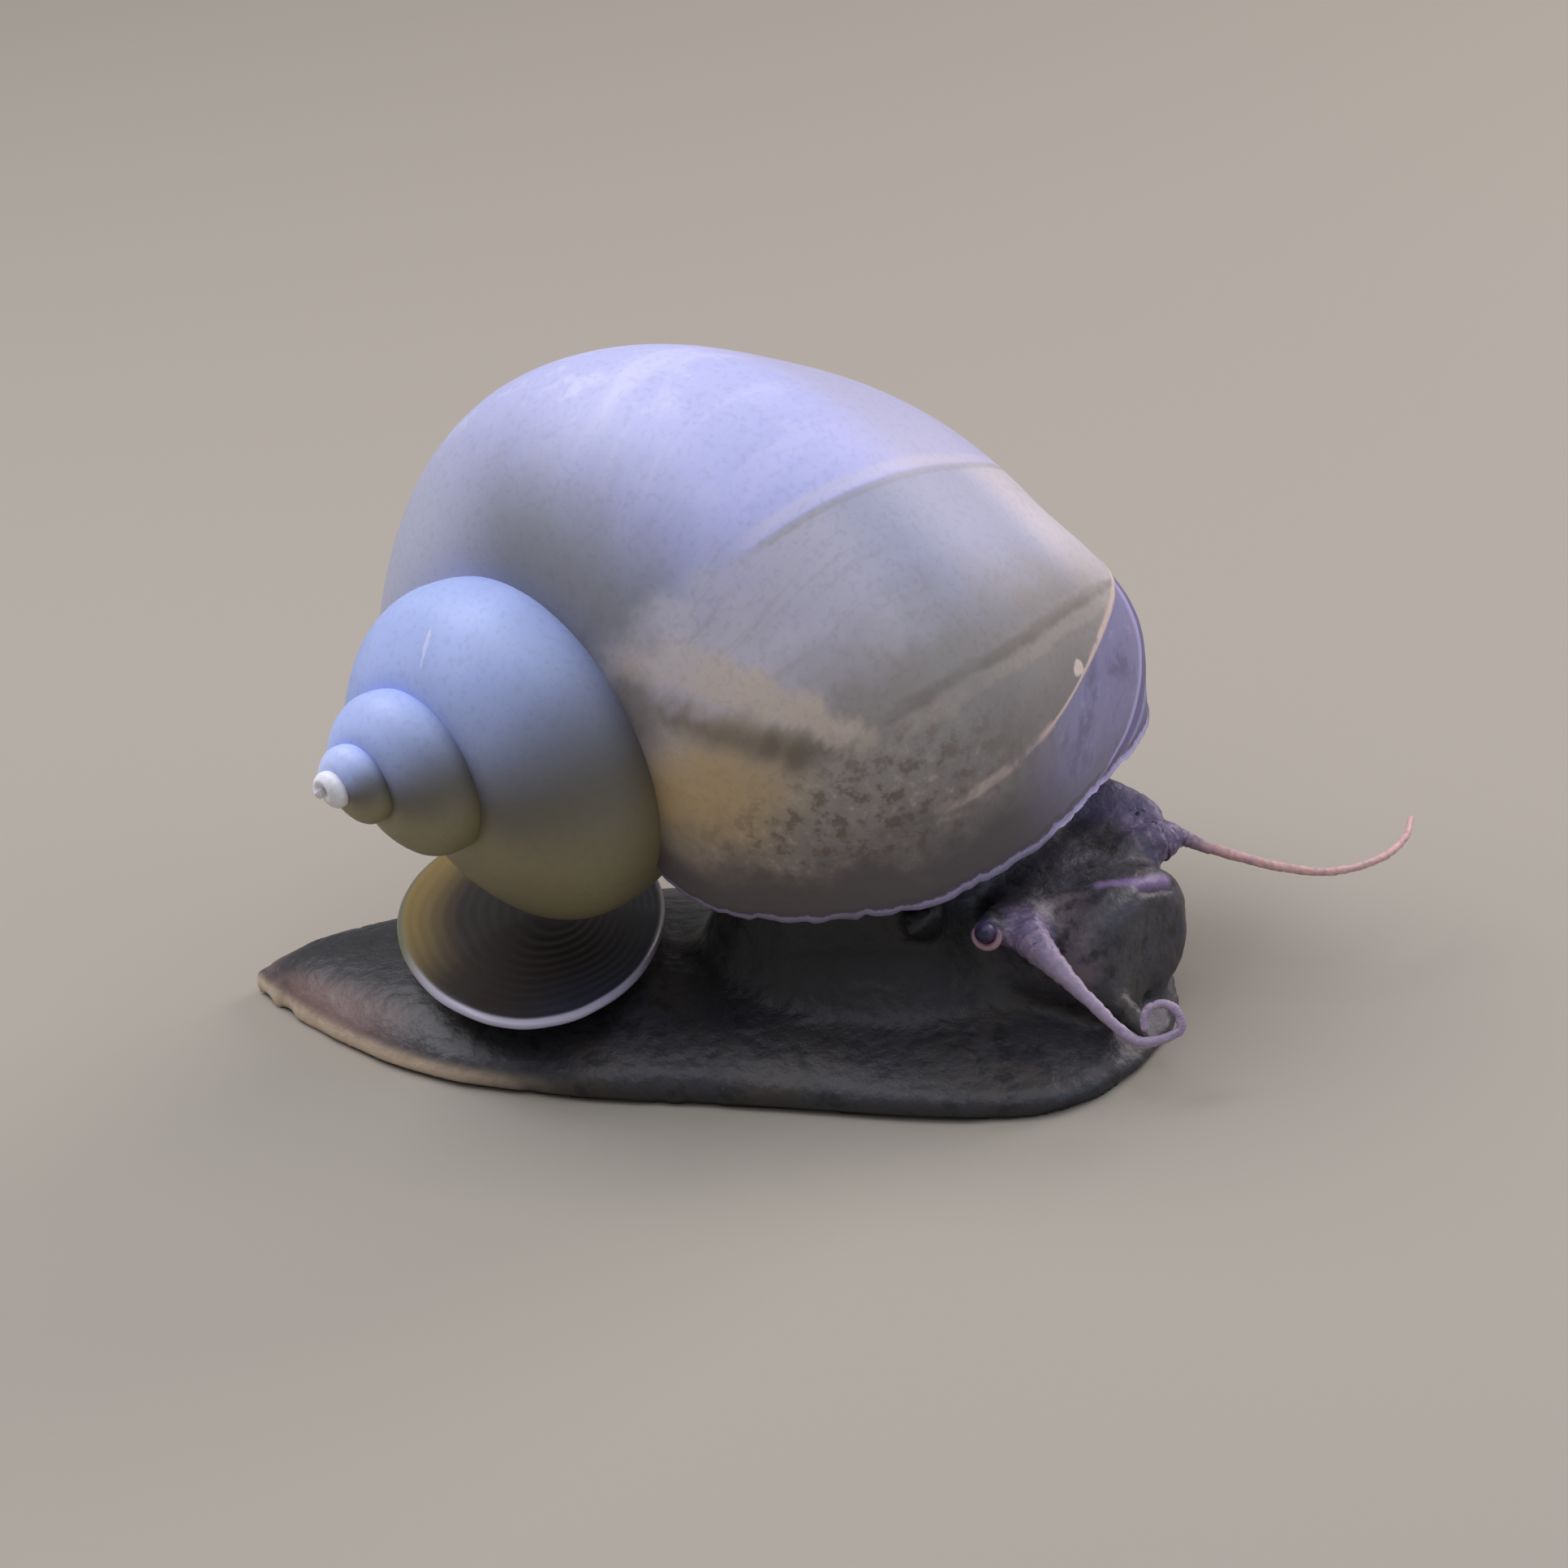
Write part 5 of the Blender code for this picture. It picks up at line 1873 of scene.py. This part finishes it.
run = at["feeler_mm"]
ring = add(tree, "Math", {0: patches, 1: 2.2, 2: run}, operation="MULTIPLY_ADD")
ring = add(tree, "Math", {0: ring, 1: TAU / RING_SPACING}, operation="MULTIPLY")
ring = add(tree, "Math", {0: ring}, operation="SINE")
far_feeler = coats(tree, FAR_PURPLE, (FAR_FEELER, 1.0, (run, 4.5, 8.0)))
feeler = coats(
    tree,
    FEELER,
    (FEELER_TIP, 1.0, (run, 2.5, 7.0)),
    (far_feeler, 1.0, at["far"]),
    (FEELER_BAND, 0.7, (ring, -0.6, 0.8), (grain, 0.35, 0.65)),
)
cup = coats(tree, CUP, (FAR_CUP, 1.0, at["far"]))
ragged = add(tree, "Math", {0: grain, 1: 0.5, 2: at["edge_mm"]}, operation="MULTIPLY_ADD")
base = coats(
    tree,
    flesh_colour,
    (feeler, 0.95, at["feeler"]),
    (EDGE_SHADOW, 0.7, (ragged, 1.25, 0.75)),
    (LILAC_EDGE, 1.0, (ragged, 0.59, 0.45)),
    (STRIP, 0.85, at["lip_strip"]),
    (EYE_BLUE, 0.9, at["by_eye"]),
    (cup, 0.9, at["cup"]),
)
slimy = {"Roughness": 0.5, "Coat Weight": 0.06, "Coat Roughness": 0.3}
bumps = add(tree, "Bump", {"Height": grain, "Strength": 0.6, "Distance": 0.1 * MM})
wide = {"Height": patches, "Strength": 0.5, "Distance": 0.2 * MM, "Normal": bumps}
bumps = add(tree, "Bump", wide)
plug_in(tree, surface, {"Base Color": base, "Normal": bumps, **slimy})
print("skin material:", len(tree.nodes), "nodes")

# %% [markdown]
# ## Glass of the eye
# The eye is a clear lens over black, with a violet ring round it. Under water it hardly shines.

# %% Glass of the eye
EYE_NAVY = colour("453A5C")
EYE_BLACK = colour("2A2440")

eye_look, tree, surface = new_material("eye, clear lens over black")
forward = add(tree, "Attribute", out="Fac", attribute_name="forward")
lens = coats(tree, EYE_NAVY, (EYE_BLACK, 1.0, (forward, 0.55, 0.85)))
plug_in(tree, surface, {"Base Color": lens, "Roughness": 0.42, "Coat Weight": 0.04})
print("eye material:", len(tree.nodes), "nodes")

# %% [markdown]
# ## Putting the pieces in place
# Each piece takes its material, stands for its solids and moves with the one body. The model is a
# still one, so nothing turns, and one skin can stand for all nineteen solids of flesh.

# %% Putting the pieces in place
NOT_FLESH = ("shell", "operculum", "eye_right", "eye_left")
FLESH_NODES = [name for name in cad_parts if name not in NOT_FLESH]
WORN = (
    (shell, shell_look, ["shell"], "shell"),
    (door, door_look, ["operculum"], "operculum"),
    (skin, skin_look, FLESH_NODES, "skin"),
    (eyes[0], eye_look, ["eye_right"], "eye"),
    (eyes[1], eye_look, ["eye_left"], "eye"),
)
for piece, look, nodes, slot in WORN:
    piece.data.materials.clear()
    piece.data.materials.append(look)
    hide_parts(*nodes)
    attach(piece, "root")
    print(piece.name, "stands for", len(nodes), "of the solids")

# %% [markdown]
# ## Floor
# The floor is plain, pale and slightly warm, and reflects some light up under the shell. It is a
# single face with matt paint, which shows soft shadows and no reflections, so it never draws the
# eye away from the snail.

# %% Floor
FLOOR_SIZE = 4.0

bm = bmesh.new()
bmesh.ops.create_grid(bm, x_segments=1, y_segments=1, size=FLOOR_SIZE / 2)
floor = add_piece("floor", bm)
look, tree, surface = new_material("floor, pale matt paint")
plug_in(tree, surface, {"Base Color": colour("A39C90"), "Roughness": 0.8})
floor.data.materials.append(look)
floor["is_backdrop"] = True
print("floor:", FLOOR_SIZE, "m wide")

# %% [markdown]
# ## Light
# Five lamps, each three to five times as long as the snail, give soft light without hard edges.
# The strongest two stand above the tail and on the snail's left, and light the back of the shell.
# Two weaker ones stand above its right side and above its head, and a low blue one before the head
# draws the edges of the feelers. An even white world fills the shadows.

# %% Light
LAMPS_AIM_AT = (0, 0, 0.015)
LAMPS = {
    "sky lamp": ((-0.18, 0.02, 0.31), (0.24, 0.24), 0.84, "F7F8FF"),
    "front lamp": ((0.0, -0.16, 0.33), (0.30, 0.22), 0.31, "EAEAFF"),
    "right lamp": ((0.18, 0.04, 0.31), (0.24, 0.24), 0.21, "FFFFF8"),
    "side lamp": ((0.34, -0.06, 0.16), (0.20, 0.20), 0.17, "BCD8FF"),
    "back lamp": ((0.22, 0.30, 0.20), (0.20, 0.20), 0.74, "FFF2FA"),
}
FILL = 0.25


def add_lamp(name, place, size, watts, tint):
    """A flat lamp at a place in metres, which faces the snail."""
    lamp = bpy.data.lights.new(name, "AREA")
    lamp.shape = "RECTANGLE"
    lamp.size, lamp.size_y = size
    lamp.energy = watts
    lamp.color = colour(tint)[:3]
    holder = bpy.data.objects.new(name, lamp)
    holder.location = place
    facing = Vector(LAMPS_AIM_AT) - Vector(place)
    holder.rotation_euler = facing.to_track_quat("-Z", "Y").to_euler()
    bpy.context.scene.collection.objects.link(holder)
    holder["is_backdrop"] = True


for name, made in LAMPS.items():
    add_lamp(name, *made)
world = bpy.data.worlds.new("room")
world.use_nodes = True
tree = world.node_tree
plug_in(tree, tree.nodes["Background"], {"Color": colour("FFFFFF"), "Strength": FILL})
bpy.context.scene.world = world
bpy.context.scene.view_settings.view_transform = "Standard"
print("lamps:", round(sum(made[2] for made in LAMPS.values()), 2), "W in all")

# %% [markdown]
# ## Sizes
# The finished looks must fill the same box as the solids and never leave it, so both boxes are
# measured, and kept side by side.

# %% Sizes
LOOKS_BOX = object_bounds()
boxes = {"cad": [list(corner) for corner in CAD_BOX], "looks": [list(corner) for corner in LOOKS_BOX]}
for name, box in boxes.items():
    print(name, "in mm:", [[round(value / MM, 2) for value in corner] for corner in box])
